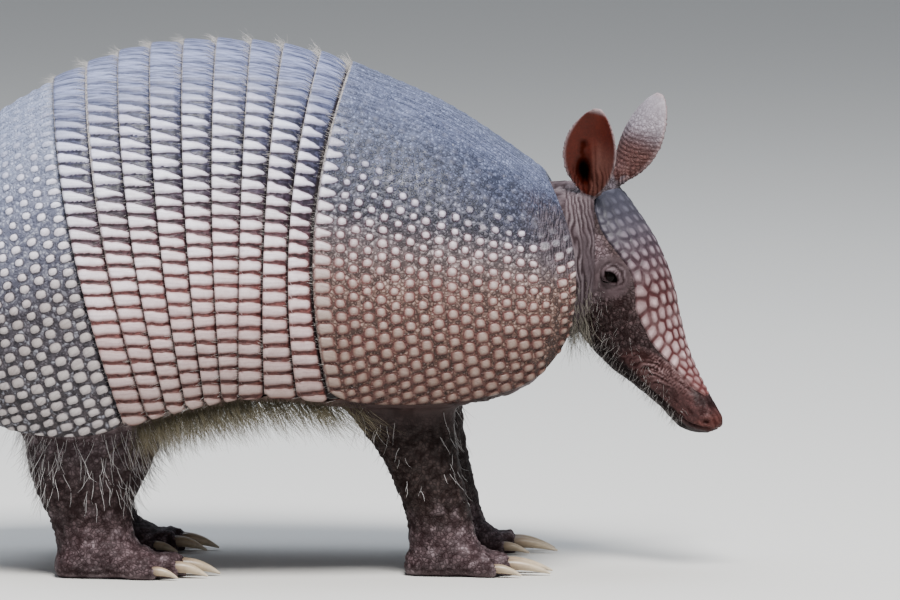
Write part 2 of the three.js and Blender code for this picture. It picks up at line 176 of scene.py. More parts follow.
def noise3(points, size, seed=0):
    """Smooth noise from -1 to 1; size is in mm, one number or one for each axis."""
    q = np.asarray(points) / size
    i = np.floor(q).astype(int)
    f = q - i
    f = f * f * (3 - 2 * f)
    total = 0
    for corner in range(8):
        step = np.array([corner & 1, corner >> 1 & 1, corner >> 2 & 1])
        weight = np.prod(np.where(step, f, 1 - f), -1)
        k = i + step
        total = total + weight * hash_unit(k[..., 0] + 7919 * seed, k[..., 1], k[..., 2])
    return total * 2 - 1


# Head frame: along runs from the crown to the nose, up through the forehead, side to the left
def head_axes():
    along = np.array([math.cos(HEAD_PITCH) * math.cos(HEAD_YAW),
                      -math.cos(HEAD_PITCH) * math.sin(HEAD_YAW), -math.sin(HEAD_PITCH)])
    level = np.array([math.sin(HEAD_YAW), math.cos(HEAD_YAW), 0])
    up = np.cross(along, level)
    c, s = math.cos(HEAD_ROLL), math.sin(HEAD_ROLL)
    return np.array([along, up * c - level * s, level * c + up * s])


HEAD_AXES = head_axes()


def head_place(along, up, side):
    return HEAD_ORIGIN + np.stack(np.broadcast_arrays(along, up, side), -1) @ HEAD_AXES


def head_row(along):
    return np.interp(along, HEAD_STATIONS[:, 0], np.arange(len(HEAD_STATIONS)))


def head_point(along, around, grow):
    """Point of the head's surface; around is 0 on the forehead."""
    row = table_at(HEAD_STATIONS, head_row(along))
    jaw = 1 - 0.22 * ((1 - np.cos(around)) / 2) ** 1.5
    up, side = (signed_power(f(around), HEAD_EXPONENT) for f in (np.cos, np.sin))
    return head_place(row[..., 0], row[..., 1] + (row[..., 2] + grow) * up,
                      (row[..., 3] + grow) * jaw * side)


EYES = {side: head_point(EYE_ALONG, side * EYE_AROUND, -EYE_DEPTH) for side in (-1, 1)}


def box_middle(node):
    low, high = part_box(node)
    return np.array((low + high) / 2) / MM


SHIFT = box_middle("eye_right") - EYES[-1]


# ---------------------------------------------------------------- meshes and materials
def oriented(points, faces, caps=()):
    """Faces of a closed body turned outwards."""
    points = np.asarray(points, float).reshape(-1, 3)
    q = points[faces] - points.mean(0)
    volume = (np.einsum("ij,ij->", q[:, 0], np.cross(q[:, 1], q[:, 2]))
              + np.einsum("ij,ij->", q[:, 0], np.cross(q[:, 2], q[:, 3])))
    if volume < 0:
        faces = faces[:, ::-1]
        caps = [cap[::-1] for cap in caps]
    return points, faces, list(caps)


def to_world(points):
    return ((points.reshape(-1, 3) + SHIFT) * MM).astype(np.float32).ravel()


def linked(name, mesh):
    piece = bpy.data.objects.new(name, mesh)
    bpy.context.scene.collection.objects.link(piece)
    return piece


def store(mesh, key, values, kind="FLOAT", field="value"):
    layer = mesh.attributes.new(key, kind, "POINT")
    layer.data.foreach_set(field, np.asarray(values, np.float32).ravel())


def mesh_object(name, points, faces, material, attributes=None, caps=(), pattern=None):
    """Mesh from points in mm, quads and closing faces, with vertex attributes and a UV map."""
    points, faces, caps = oriented(points, faces, caps)
    sizes = [faces.shape[1]] * len(faces) + [len(cap) for cap in caps]
    corners = np.concatenate([faces.ravel(), *[np.asarray(cap) for cap in caps]])
    mesh = bpy.data.meshes.new(name)
    mesh.vertices.add(len(points))
    mesh.vertices.foreach_set("co", to_world(points))
    mesh.loops.add(len(corners))
    mesh.loops.foreach_set("vertex_index", corners.astype(np.int32))
    mesh.polygons.add(len(sizes))
    starts = np.concatenate([[0], np.cumsum(sizes)[:-1]]).astype(np.int32)
    mesh.polygons.foreach_set("loop_start", starts)
    mesh.polygons.foreach_set("use_smooth", np.ones(len(sizes), bool))
    mesh.update(calc_edges=True)
    for key, values in (attributes or {}).items():
        store(mesh, key, values)
    if pattern is not None:
        layer = mesh.uv_layers.new(name="Pattern")
        flat = pattern.astype(np.float32).reshape(-1, 2)[corners]
        layer.data.foreach_set("uv", flat.ravel())
    mesh.validate()
    if material:
        mesh.materials.append(material)
    return linked(name, mesh)


def loop_quads(rows, columns, start=0):
    """Quads of a grid whose columns close on themselves."""
    index = start + np.arange(rows * columns).reshape(rows, columns)
    a, b = index[:-1], index[1:]
    return np.stack([a, np.roll(a, -1, 1), np.roll(b, -1, 1), b], -1).reshape(-1, 4)


class Tree:
    """Short way to build a node tree; inputs take sockets or constants."""

    def __init__(self, tree):
        self.tree = tree

    def put(self, socket, value):
        if isinstance(value, bpy.types.NodeSocket):
            self.tree.links.new(value, socket)
        else:
            socket.default_value = (*value, 1.0) if socket.type == "RGBA" else value

    def add(self, kind, inputs=None, **settings):
        node = self.tree.nodes.new(kind)
        for key, value in settings.items():
            setattr(node, key, value)
        for key, value in (inputs or {}).items():
            self.put(node.inputs[key], value)
        return node


class Shader(Tree):
    """One material's colour, relief and gloss."""

    def __init__(self, name):
        self.material = bpy.data.materials.new(name)
        self.material.use_nodes = True
        super().__init__(self.material.node_tree)

    def attributes(self, *names):
        return [self.add("ShaderNodeAttribute", attribute_name=name).outputs["Fac"]
                for name in names]

    def place(self):
        return self.add("ShaderNodeTexCoord").outputs["Object"]

    def math(self, operation, *values):
        return self.add("ShaderNodeMath", dict(enumerate(values)), operation=operation).outputs[0]

    def times(self, a, b):
        return self.math("MULTIPLY", a, b)

    def rest(self, value):
        return self.math("SUBTRACT", 1.0, value)

    def span(self, value, low, high, to_low=0.0, to_high=1.0):
        """A soft step from one value to another between low and high."""
        return self.add("ShaderNodeMapRange", {
            "Value": value, "From Min": low, "From Max": high, "To Min": to_low,
            "To Max": to_high}, interpolation_type="SMOOTHSTEP").outputs["Result"]

    def mix(self, factor, a, b, blend="MIX"):
        node = self.add("ShaderNodeMix", data_type="RGBA", blend_type=blend)
        for socket, value in zip(MIX_INPUTS, (factor, a, b)):
            self.put(node.inputs[socket], value)
        return node.outputs[MIX_RESULT]

    def multiply(self, a, b):
        return self.mix(1.0, a, b, "MULTIPLY")

    def tint(self, factor, colour, shade):
        return self.mix(factor, colour, self.multiply(colour, shade))

    def ramp(self, value, *stops):
        node = self.add("ShaderNodeValToRGB", {"Fac": value})
        elements = node.color_ramp.elements
        while len(elements) < len(stops):
            elements.new(0.5)
        for element, (place, *colour) in zip(elements, stops):
            element.position = place
            element.color = (*colour, 1.0)
        return node.outputs["Color"]

    def noise(self, scale, detail=3.0, vector=None, roughness=0.55):
        return self.add("ShaderNodeTexNoise", {
            "Vector": vector or self.place(), "Scale": scale, "Detail": detail,
            "Roughness": roughness}).outputs["Fac"]

    def streaks(self, vector, along, across, roughness):
        """Noise drawn out along a UV map."""
        split = self.add("ShaderNodeSeparateXYZ", {"Vector": vector}).outputs
        stretched = self.add("ShaderNodeCombineXYZ", {
            "X": self.times(split["X"], along), "Y": self.times(split["Y"], across)})
        return self.noise(1.0, 3.0, stretched.outputs[0], roughness)

    def pebbles(self, scale):
        """Distance to the border of the nearest pebble, and a number from 0 to 1 for each."""
        inputs = {"Vector": self.place(), "Scale": scale}
        border = self.add("ShaderNodeTexVoronoi", inputs, feature="DISTANCE_TO_EDGE")
        number = self.add("ShaderNodeTexVoronoi", inputs).outputs["Color"]
        return (border.outputs["Distance"],
                self.add("ShaderNodeSeparateColor", {"Color": number}).outputs["Red"])

    def bump(self, height, distance, strength, *normal):
        return self.add("ShaderNodeBump", {
            "Height": height, "Distance": distance, "Strength": strength,
            **dict(zip(["Normal"], normal))}).outputs["Normal"]

    def finish(self, colour, roughness, normal=None, specular=None):
        shader = self.tree.nodes["Principled BSDF"]
        for key, value in (("Base Color", colour), ("Roughness", roughness),
                           ("Normal", normal), ("Specular IOR Level", specular)):
            if value is not None:
                self.put(shader.inputs[key], value)
        return self.material


MIX_INPUTS, MIX_RESULT = (0, 6, 7), 2    # the colour sockets of a Mix node: factor, A, B; result


# ---------------------------------------------------------------- shell
ROW_PITCH = 5.75         # scutes along a band or column
LIP = 1.1                # thickness of a plate's free edge
TUCK = 3.0               # a plate reaches this far under the one before it
PEBBLE_SCALE = 640.0     # pebbles a metre in the ground between the scutes
TOOTH_ZONE = 8.4         # depth of the row of wedges along the shoulder shield's rear edge
MARGIN_PITCH = 6.0       # distance between the rows along a shield's open edge
# how far each kind of plate takes the warm colours, the bands' streaks and the pale ground
LOOKS = {"shoulder": (1.0, 0.35, 0.0), "band": (0.0, 1.0, 0.0), "pelvic": (0.3, 0.35, 1.0)}
# columns start and first show at these distances from the jointed edge; scutes grow downwards
# from the first to the second half-size, their height in shares of the row
SHIELDS = {
    "shoulder": dict(start=2.6, first=9.0, wide=5.9, long=(1.55, 2.05), high=(0.26, 0.32),
                     border=16.5),
    "pelvic": dict(start=1.9, first=-9.0, wide=6.7, long=(1.95, 2.45), high=(0.28, 0.36),
                   border=6.5),
}


def shell_material():
    n = Shader("shell")
    scute, fall, show, cell, edge, front, warm, kind, pale, margin = n.attributes(
        "scute", "fall", "show", "cell", "edge", "front", "warm", "band", "pale", "margin")
    pattern = n.add("ShaderNodeUVMap", uv_map="Pattern").outputs["UV"]
    pebble, tone = n.pebbles(PEBBLE_SCALE)
    streak = n.streaks(pattern, 60.0, 820.0, 0.6)
    wrinkle = n.streaks(pattern, 1400.0, 130.0, 0.5)
    mottle, fine = n.noise(75.0, 5.0), n.noise(1100.0)
    feather = n.times(n.math("SUBTRACT", streak, 0.5), n.times(kind, 2.0))
    scute = n.math("ADD", scute, n.times(feather, n.span(scute, -0.6, 0.0)))
    # colours from the ridge (0) to the lower edge (1): cool on the bands, warm on the shoulder,
    # darker towards the lower edge; the slate blue near the ridge, here and in the ramps below, is
    # a painted reflection of the sky
    ground = n.mix(
        warm,
        n.ramp(fall, (0.0, 0.13, 0.16, 0.27), (0.12, 0.045, 0.052, 0.095),
               (0.35, 0.026, 0.024, 0.040), (0.55, 0.060, 0.028, 0.032),
               (0.70, 0.110, 0.040, 0.038), (1.0, 0.062, 0.020, 0.016)),
        n.ramp(fall, (0.0, 0.120, 0.146, 0.225), (0.24, 0.066, 0.077, 0.124),
               (0.40, 0.046, 0.045, 0.064), (0.52, 0.175, 0.138, 0.136),
               (0.64, 0.170, 0.112, 0.095), (0.82, 0.090, 0.050, 0.038),
               (1.0, 0.040, 0.017, 0.012)))
    # the scutes' colours by the same measure, with the same painted sky reflection near the ridge
    light = n.mix(
        warm,
        n.ramp(fall, (0.0, 0.44, 0.50, 0.70), (0.18, 0.66, 0.69, 0.88), (0.35, 0.90, 0.90, 1.0),
               (0.55, 0.86, 0.79, 0.84), (0.75, 0.57, 0.445, 0.44), (1.0, 0.27, 0.20, 0.18)),
        n.ramp(fall, (0.0, 0.40, 0.44, 0.58), (0.30, 0.80, 0.81, 0.94), (0.45, 0.78, 0.745, 0.78),
               (0.62, 0.44, 0.365, 0.335), (0.80, 0.275, 0.208, 0.175), (1.0, 0.19, 0.138, 0.112)))
    light = n.mix(n.times(pale, n.span(fall, 0.38, 0.66)), light, (0.42, 0.385, 0.37))
    # pebbles between the scutes, with dark gaps and single light grains that are partly painted
    # highlights on the pebbles
    gap = n.math("MAXIMUM", n.span(pebble, 0.03, 0.30), n.times(kind, 0.9))
    dark_gap = n.mix(n.span(fall, 0.4, 0.62), (0.16, 0.155, 0.19), (0.13, 0.075, 0.06))
    ground = n.multiply(ground, n.mix(n.span(tone, 0.15, 0.95), (0.75, 0.75, 0.77),
                                      (2.1, 2.08, 2.05)))
    ground = n.mix(gap, n.multiply(ground, dark_gap), ground)
    ground = n.mix(pale, ground, n.mix(
        n.times(n.span(tone, 0.1, 0.9), gap),
        n.ramp(fall, (0.0, 0.23, 0.27, 0.39), (0.3, 0.12, 0.13, 0.19),
               (0.6, 0.040, 0.036, 0.045), (1.0, 0.022, 0.018, 0.020)),
        n.ramp(fall, (0.0, 0.52, 0.57, 0.75), (0.3, 0.40, 0.43, 0.56),
               (0.6, 0.17, 0.155, 0.18), (1.0, 0.080, 0.062, 0.062))))
    grain = n.times(n.times(n.span(tone, 0.72, 0.80), gap),
                    n.times(n.span(fall, 0.2, 0.5), n.span(kind, 0.3, 1.0, 1.0, 0.0)))
    ground = n.mix(n.times(grain, 0.75), ground,
                   n.mix(pale, n.mix(0.45, ground, light), (0.34, 0.35, 0.40)))
    ground = n.tint(n.times(kind, n.span(streak, 0.40, 0.62, 0.75, 0.0)), ground,
                    (0.35, 0.30, 0.33))
    # creased skin along the shoulder shield's front edge, drawn in colour only: dark lines of
    # painted shade in the creases between lighter folds
    creased = n.times(n.times(n.span(margin, 9.0, 27.0, 1.0, 0.0), n.span(fall, 0.10, 0.30)),
                      n.span(fall, 0.50, 0.66, 1.0, 0.0))
    ground = n.mix(n.times(creased, 0.85), ground, n.mix(
        n.span(wrinkle, 0.40, 0.66), (0.014, 0.010, 0.013), (0.125, 0.100, 0.115)))
    # the back's brushed look: fine light and dark lines across the bands, the light ones partly a
    # painted blue-white sheen of the sky
    brush_and_sheen = n.mix(n.span(streak, 0.32, 0.70), (0.028, 0.034, 0.078), (0.27, 0.305, 0.49))
    back = n.times(n.span(fall, 0.05, 0.20, 1.0, 0.0), kind)
    ground = n.mix(back, ground, brush_and_sheen)
    # the scutes' own tone, stains and streaks, with painted shade that darkens each scute towards
    # its edges as if domed, partly a real stain at the lower edges
    light = n.tint(n.span(cell, 0.0, 1.0, 0.0, 0.30), light, (0.74, 0.68, 0.66))
    light = n.tint(n.span(mottle, 0.42, 0.72, 0.0, 0.45), light, (0.72, 0.64, 0.61))
    light = n.mix(n.times(back, 0.55), light, brush_and_sheen)
    # painted shade: each scute darker towards its edges
    light = n.tint(n.times(n.span(scute, 0.2, 1.6, 0.9, 0.0), n.rest(n.times(pale, 0.6))), light,
                   n.mix(n.times(n.span(fall, 0.3, 0.6), n.rest(pale)), (0.55, 0.53, 0.60),
                         (0.60, 0.43, 0.41)))
    light = n.tint(n.span(streak, 0.42, 0.70, 0.0, 0.5), light, (0.55, 0.50, 0.55))
    inside = n.times(n.span(scute, -0.05, 0.45), show)
    colour = n.mix(inside, ground, light)
    # seams round the scutes, the free edge and the shade under the plate before
    seam = n.mix(
        pale,
        n.ramp(fall, (0.0, 0.11, 0.12, 0.18), (0.35, 0.055, 0.036, 0.050),
               (0.62, 0.120, 0.036, 0.034), (1.0, 0.062, 0.022, 0.017)),
        n.ramp(fall, (0.0, 0.15, 0.17, 0.24), (0.3, 0.075, 0.078, 0.105),
               (0.5, 0.030, 0.024, 0.028)))
    colour = n.mix(n.times(n.span(n.math("ABSOLUTE", scute), 0.0, 0.55, 0.70, 0.0),
                           n.math("MAXIMUM", show, 0.1)), colour, seam)
    colour = n.mix(n.times(n.span(edge, 0.05, 0.6, 0.8, 0.0), n.span(fall, 0.15, 0.5, 1.0, 0.25)),
                   colour, n.mix(n.span(fine, 0.35, 0.65), (0.12, 0.10, 0.10),
                                 (0.50, 0.46, 0.41)))
    colour = n.mix(n.span(front, 0.5, 1.9, 0.96, 0.0), colour, (0.012, 0.008, 0.009))
    colour = n.tint(n.span(fine, 0.25, 0.8, 0.0, 0.3), colour, (0.55, 0.52, 0.52))
    normal = n.bump(n.times(gap, n.rest(inside)), 0.0006, 0.9)
    normal = n.bump(streak, 0.0004, n.times(kind, 0.35), normal)
    normal = n.bump(fine, 0.00012, 0.4, normal)
    return n.finish(colour, n.span(mottle, 0.3, 0.7, 0.34, 0.52), normal, 0.26)


def wedges(p, q, fall, seed, ahead, behind):
    """Light wedges, wide at the free edge and tapering forward.

    p is 1 at that edge, q runs round the plate, ahead and behind are the gaps to its two edges.
    """
    row = np.abs(q) / ROW_PITCH + 0.5
    number = np.floor(row)
    key = number * 2 + (q > 0)
    random = hash_unit(key + 11, np.full_like(key, seed))
    other = hash_unit(key + 1007, np.full_like(key, seed + 31))
    y = row - number
    broad = smooth(fall, 0.30, 0.74)
    slope = lerp(0.60, 0.07, broad) * lerp(0.75, 1.15, random)
    top = 0.095 + slope * np.clip(1 - p, 0, 1) ** 1.25
    bottom = 0.965 - lerp(0.16, 0.03, broad) * (1 - p) ** 2
    inside = np.minimum(y - top, bottom - y) * ROW_PITCH
    ends = np.minimum(ahead + 0.9 * (other - 0.5) + lerp(-0.3, 0.2, broad), behind)
    corner = 1.5
    rounded = corner - np.hypot(np.minimum(inside - corner, 0), np.minimum(ends - corner, 0))
    field = np.where((inside < corner) & (ends < corner), rounded, np.minimum(inside, ends))
    return field, random


def cosine(base, f, g):
    """Cosine of the angle between the directions in which f and g grow on a surface grid."""
    across, along = np.gradient(base, axis=0), np.gradient(base, axis=1)
    e, m, k = (np.sum(a * b, -1) for a, b in ((along, along), (along, across), (across, across)))
    fw, fu = np.gradient(f)
    gw, gu = np.gradient(g)

    def product(au, aw, bu, bw):
        return k * au * bu - m * (au * bw + aw * bu) + e * aw * bw

    size = np.sqrt(np.maximum(product(fu, fw, fu, fw) * product(gu, gw, gu, gw), 1e-12))
    return np.clip(product(fu, fw, gu, gw) / size, -0.85, 0.85)


def scutes(c, row, long, high, seed, pitch, power, keep, skew):
    """Rounded scutes in staggered columns; c counts columns and row counts places along them."""
    best = np.full(c.shape, -9.0)
    cell = np.zeros(c.shape)
    for dk in (-1, 0, 1):
        k = np.floor(c) + dk
        place = row + np.mod(k, 2) * 0.5
        for dm in (-1, 0, 1):
            m = np.floor(place) + dm
            r1, r2, r3 = (hash_unit(k + 101 * i, m + 301 * i, np.full_like(k, seed + 5 * i))
                          for i in (1, 2, 3))
            dx = (c - k - 0.5 - 0.12 * (r1 - 0.5)) * pitch[0]
            dy = (place - m - 0.5 - 0.16 * (r2 - 0.5)) * pitch[1]
            size = lerp(0.88, 1.08, r3)
            level = (dy - dx * skew) / np.sqrt(1 - skew ** 2)
            d = (np.abs(dx / (long * size)) ** power
                 + np.abs(level / (high * size)) ** power) ** (1 / power)
            inside = (1 - d) * np.minimum(long, high)
            inside = np.where(keep(dx), inside, -9.0)
            nearer = inside > best
            best = np.where(nearer, inside, best)
            cell = np.where(nearer, r3, cell)
    return best, cell


def build_plate(name, start, end, step, seed, kind):
    """One plate of the carapace as a closed body with its scutes in relief."""
    length = np.linalg.norm(shell_curve(end, 1.2) - shell_curve(start, 1.2))
    rows = max(8, int(length / step))
    per_mm = (end - start) / length
    tuck = TUCK * per_mm if start > 0 else 0.0
    stops = np.linspace(start - tuck, end + 0.8 * per_mm * (end < REAR_END), rows + 1)
    arc = arc_table((start + end) / 2)[1][-1]
    columns = int(2 * arc / step)
    share = np.linspace(-1, 1, columns + 1)
    angle, run, hem = (np.empty((columns + 1, rows + 1)) for _ in range(3))
    for i, v in enumerate(stops):
        a, s = arc_table(v)
        p = (v - start) / (end - start)
        corner = np.abs(2 * np.clip(p, 0, 1) - 1) ** (6 if kind == "band" else 10)
        reach = s[-1] - (2.2 if kind == "band" else 5.0) * corner
        run[:, i] = share * reach
        hem[:, i] = (1 - np.abs(share)) * reach
        angle[:, i] = np.sign(share) * np.interp(np.abs(run[:, i]), s, a)
    v = np.broadcast_to(stops, angle.shape)
    p = (v - start) / (end - start)
    fall = (1 - np.cos(angle)) / (1 - math.cos(SHELL_WRAP))
    base = shell_point(v, angle, 0 * v)
    steps = np.linalg.norm(np.diff(base, axis=1), axis=2)
    travelled = np.concatenate([np.zeros((columns + 1, 1)), np.cumsum(steps, axis=1)], 1)
    first, last = np.searchsorted(stops, start), min(np.searchsorted(stops, end), rows)
    to_front = travelled - travelled[:, first, None]
    to_rear = travelled[:, last, None] - travelled
    q = run
    if kind != "pelvic":
        # wedges run level along the body, counted where they meet the rear edge
        rear = base[:, last]
        tangent = unit(np.gradient(rear, axis=0))
        level = unit(tangent * [0.08, 0.3, 1])
        q = run[:, last, None] + (np.einsum("ijk,ik->ij", base - rear[:, None], level)
                                  / np.sum(level * tangent, -1)[:, None])
        q = q + 0.35 * noise3(base, 7.0, seed) + 0.3 * noise3(base, 1.9, seed + 3)
    if kind == "band":
        field, cell = wedges(np.clip(p, 0, 1), q, fall, seed, to_front - 1.1, to_rear + 0.9)
        show = lerp(0.12, 1.0, smooth(fall + 0.05 * (cell - 0.5), 0.04, 0.20))
        pattern = to_front, q
    else:
        distance, margin = (to_rear, to_front) if kind == "shoulder" else (to_front, to_rear)
        field, cell, show = shield_field(kind, distance, margin, hem, q, run >= 0, fall, seed, base)
        pattern = distance, run
    # height of the outer face over the carapace surface
    sunk = lerp(-1.5, 0.45, smooth(to_front, -0.5, 4.5))
    if start == 0:
        lift = lerp(0.0, 0.5, smooth(to_front, 0, 5)) + (EDGE_LIFT - 0.5) * smooth(p, 0.75, 1.0)
    elif end == REAR_END:
        lift = sunk + 0.4 * smooth(p, 0.1, 0.9)
    else:
        lift = sunk + (EDGE_LIFT - 0.45) * smooth(p, 0.15, 1.0)
    puff = np.clip(field / 2.3, 0, 1)
    relief = 0.95 * np.sqrt(1 - (1 - puff) ** 2) * lerp(0.25, 1.0, show)
    relief -= 0.25 * bell(field, 0.35) * lerp(0.3, 1.0, show)
    relief += 0.10 * noise3(base, 2.2, seed + 40) * (1 - smooth(field, 0, 0.4))
    # distance to the nearest edge, which is rounded off
    rim = np.minimum(np.minimum(to_rear + 0.8, (1 - np.abs(share))[:, None] * arc),
                     to_front + 9.0 + TUCK if start > 0 else to_front)
    round_off = 0.55 * (1 - np.sqrt(np.clip(1 - (1 - np.clip(rim / 0.9, 0, 1)) ** 2, 0, 1)))
    outer = lift + relief * smooth(rim, 0.0, 1.0) - round_off
    thick = LIP + 1.2 * (1 - smooth(np.abs(share)[:, None], 0.97, 1.0)) * smooth(to_rear, 2, 8)
    inner = lift - thick + round_off
    take = np.unique(np.linspace(0, rows, max(3, rows // 14)).astype(int))[::-1]

    def both(values, back=None):
        """Values of the outer face, then of the coarser inner one."""
        under = values[:, take] if back is None else np.full((columns + 1, len(take)), back)
        return np.concatenate([values, under], 1)

    points = shell_point(both(v), both(angle), np.concatenate([outer, inner[:, take]], 1))
    far = np.full_like(to_rear, 9.0)
    count = points.shape[1]
    caps = [np.arange(count)[::-1], columns * count + np.arange(count)]
    attributes = {"scute": both(field, -3.0), "cell": both(cell, 0.5), "show": both(show, 0.0),
                  "fall": both(fall), "edge": both(to_rear if end < REAR_END else far, 9.0),
                  "front": both(to_front if start > 0 else far, 0.0),
                  "margin": both(to_front if kind == "shoulder" else far + 90, 99.0)}
    for key, amount in zip(("warm", "band", "pale"), LOOKS[kind]):
        attributes[key] = np.full(points.shape[:2], amount)
    piece = mesh_object(f"{name}_scutes", points, loop_quads(columns + 1, count), SHELL,
                        attributes, caps, np.stack([both(part) * MM for part in pattern], -1))
    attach(piece, "root")
    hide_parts(name)


def shield_field(kind, distance, margin, hem, q, left, fall, seed, base):
    """Depth inside the scutes of a shield, their random numbers, and how far they show.

    distance is from the jointed edge, margin from the open one, hem from the lower one.
    """
    shoulder, plan = kind == "shoulder", SHIELDS[kind]
    warp = 0.09 * noise3(base, 9.0, seed)
    grow = smooth(fall, 0.28, 0.60)
    low = smooth(fall, 0.60, 0.86)
    long, high = (lerp(*plan[key], grow) for key in ("long", "high"))
    border, wide = plan["border"], plan["wide"]
    if shoulder:
        border = border + 2.0 * noise3(base, 16.0, seed + 9)
    else:
        long = lerp(2.9, long, smooth(distance, 7.5, 9.0))
    # rows are counted from the lower edge, closer together there; columns from the jointed edge
    height = np.linspace(0, 200, 801)
    pitch = lerp(4.6, ROW_PITCH, smooth(height, 3, 26))
    count = np.concatenate([[0], np.cumsum(height[1] / pitch[:-1])])
    row = np.interp(hem, height, count) + 40 + 0.6 * warp + 200 * left
    local = np.interp(hem, height, pitch)
    column = (distance - plan["start"]) / wide + 0.6 * warp

    def on_field(dx):
        return (margin + dx > border + 2.1) & (distance - dx > plan["first"])

    def on_margin(dx):
        return (margin - dx < border - 2.1) & (distance > plan["first"])

    field, cell = scutes(column, row, lerp(long, 0.43 * wide, low), lerp(high, 0.40, low) * local,
                         seed, (wide, local), lerp(2.6, 3.4, low), on_field,
                         cosine(base, distance, hem))
    layers = [scutes(margin / MARGIN_PITCH + 300, row, 2.5, 0.40 * local, seed + 90,
                     (MARGIN_PITCH, local), 3.4, on_margin, cosine(base, margin, hem))]
    toothed = shoulder & (distance < TOOTH_ZONE)
    if shoulder:
        wedge, number = wedges(np.clip(1 - distance / TOOTH_ZONE, 0, 1), q, fall, seed,
                               7.6 - distance, distance + 0.1)
        layers.append((np.where(toothed, wedge, -9.0), number))
    for other, other_cell in layers:
        better = other > field
        field, cell = np.where(better, other, field), np.where(better, other_cell, cell)
    field = field + 0.2 * noise3(base, 1.6, seed + 3)
    if not shoulder:
        return field, cell, lerp(0.42, 1.0, smooth(fall + 0.05 * (cell - 0.5), 0.06, 0.26))
    late = lerp(0.26, 0.36, smooth(distance, 8, 60))
    show = np.maximum(smooth(fall + 0.07 * (cell - 0.5), late - 0.05, late + 0.04), 0.06)
    show = np.where(toothed, np.maximum(show, smooth(fall, 0.10, 0.28)), show)
    show = np.where(margin < border, show * lerp(0.22, 1.0, smooth(fall, 0.40, 0.58)), show)
    return field, cell, show


SHELL = shell_material()
STEP = 0.60
build_plate("shoulder_shield", 0, SHOULDER_END, STEP * 1.12, 3, "shoulder")
for band in range(BANDS):
    build_plate(f"band_{band + 1}", SHOULDER_END + band, SHOULDER_END + band + 1, STEP,
                20 + band, "band")
build_plate("pelvic_shield", SHOULDER_END + BANDS, REAR_END, STEP * 1.15, 5, "pelvic")


# ---------------------------------------------------------------- skin
SKIN_DEPTH = 3.0         # the skin lies this far inside the carapace surface
JOINT = 111.0            # the finely and the coarsely meshed skin meet at this x
NECK = [[66, 2.4, 126, 37, 47], [86, 0, 128, 36, 45.5], [100, -1.7, 128.5, 35, 42],
        [112, -3.1, 130, 33.5, 34], [124, -4.6, 134, 30, 22]]
NECK_MIDDLE = np.array([0, -3, 130])
RUMP = (-138, 0, 96), (27, 40, 33)      # middle and radii
FLAT_BACK = dict(above=128, behind=84, ahead=-138)    # the skin is level there, under the plates
HEAD_ROUND = 21          # mean radius of the head at the eyes
# neck colours: its tint; then the folds' tint, a painted highlight on their ridges, and a darker
# tint towards the bottom
NECK_TINT, NECK_FOLD_TINTS = (0.100, 0.074, 0.080), (
    (0.082, 0.060, 0.067), (0.165, 0.132, 0.142), (0.040, 0.028, 0.029))
HEAD_VOXEL = 0.70
BODY_VOXEL = 1.78
EAR_THICK = 1.5
EARS = {
    "right": dict(side=-1, base=(0, 6.3, 14.5), lean=(-0.683, 0.69, 0.2), length=36,
                  rear=12.6, front=11.4),
    "left": dict(side=1, base=(-1.5, 6.5, 11), lean=(-0.66, 0.69, 0.5), length=38,
                 rear=14, front=10.5),
}
FORELEG = np.array([
    # z, x, distance from the middle plane, half-length, half-width
    [94, 39, 33, 23, 16], [74, 41, 38, 24, 17], [60, 46, 39, 19.5, 15], [48, 51, 39.5, 16, 13.5],
    [36, 55, 40, 14.5, 12.5], [24, 58.5, 40.5, 14, 12], [8, 61, 41, 15, 12.5]], float)
HINDLEG = np.array([
    [97, -83, 34, 32, 18], [74, -85, 41, 33.5, 21], [60, -86.5, 43.5, 30, 19.5],
    [46, -88.6, 45, 25.6, 17], [33, -89.7, 46, 20.4, 14.5], [24, -88, 46.5, 17.5, 13],
    [8, -84, 47, 17, 13.5]], float)
# Pads run from heel to toes (offset, half-width, height); toes: across, start, end, spread,
# radius, claw length
FOREFOOT = dict(
    pad=np.array([[-17, 6, 7], [-12, 10.5, 13], [-2, 13, 18], [8, 14, 17], [16, 13.5, 12],
                  [20, 11, 8]], float),
    toes=[(-10.5, 12, 23, -9, 3.6, 10), (-3.8, 15, 28, -2, 4.4, 17), (3.8, 15, 28, 3, 4.4, 16),
          (10.5, 11, 22, 10, 3.6, 10)])
HINDFOOT = dict(
    pad=np.array([[-19, 7, 8], [-14, 12, 14], [-2, 15, 19], [10, 17, 16], [20, 17, 12],
                  [25, 13, 8]], float),
    toes=[(-13.5, 12, 24, -10, 3.6, 9), (-7.5, 19, 33, -4, 4.5, 12), (0, 21, 36, 0, 4.8, 14),
          (7.5, 19, 33, 4, 4.5, 12), (13.5, 12, 24, 10, 3.6, 9)])


def limb(end, name, side, table, foot, shift):
    """One leg with its foot; x and y are the ankle's place."""
    shift = shift if side > 0 else 0
    return SimpleNamespace(end=end, name=name, side=side, table=table, toes=foot["toes"],
                           pad=foot["pad"], shift=shift, x=table[-1, 1] + shift,
                           y=side * table[-1, 2])


# the left feet stand 3 mm nearer to each other than the right ones
LIMBS = [limb(end, name, side, table, foot, shift)
         for end, table, foot, shift in (("fore", FORELEG, FOREFOOT, 3),
                                         ("hind", HINDLEG, HINDFOOT, -3))
         for name, side in (("right", -1), ("left", 1))]


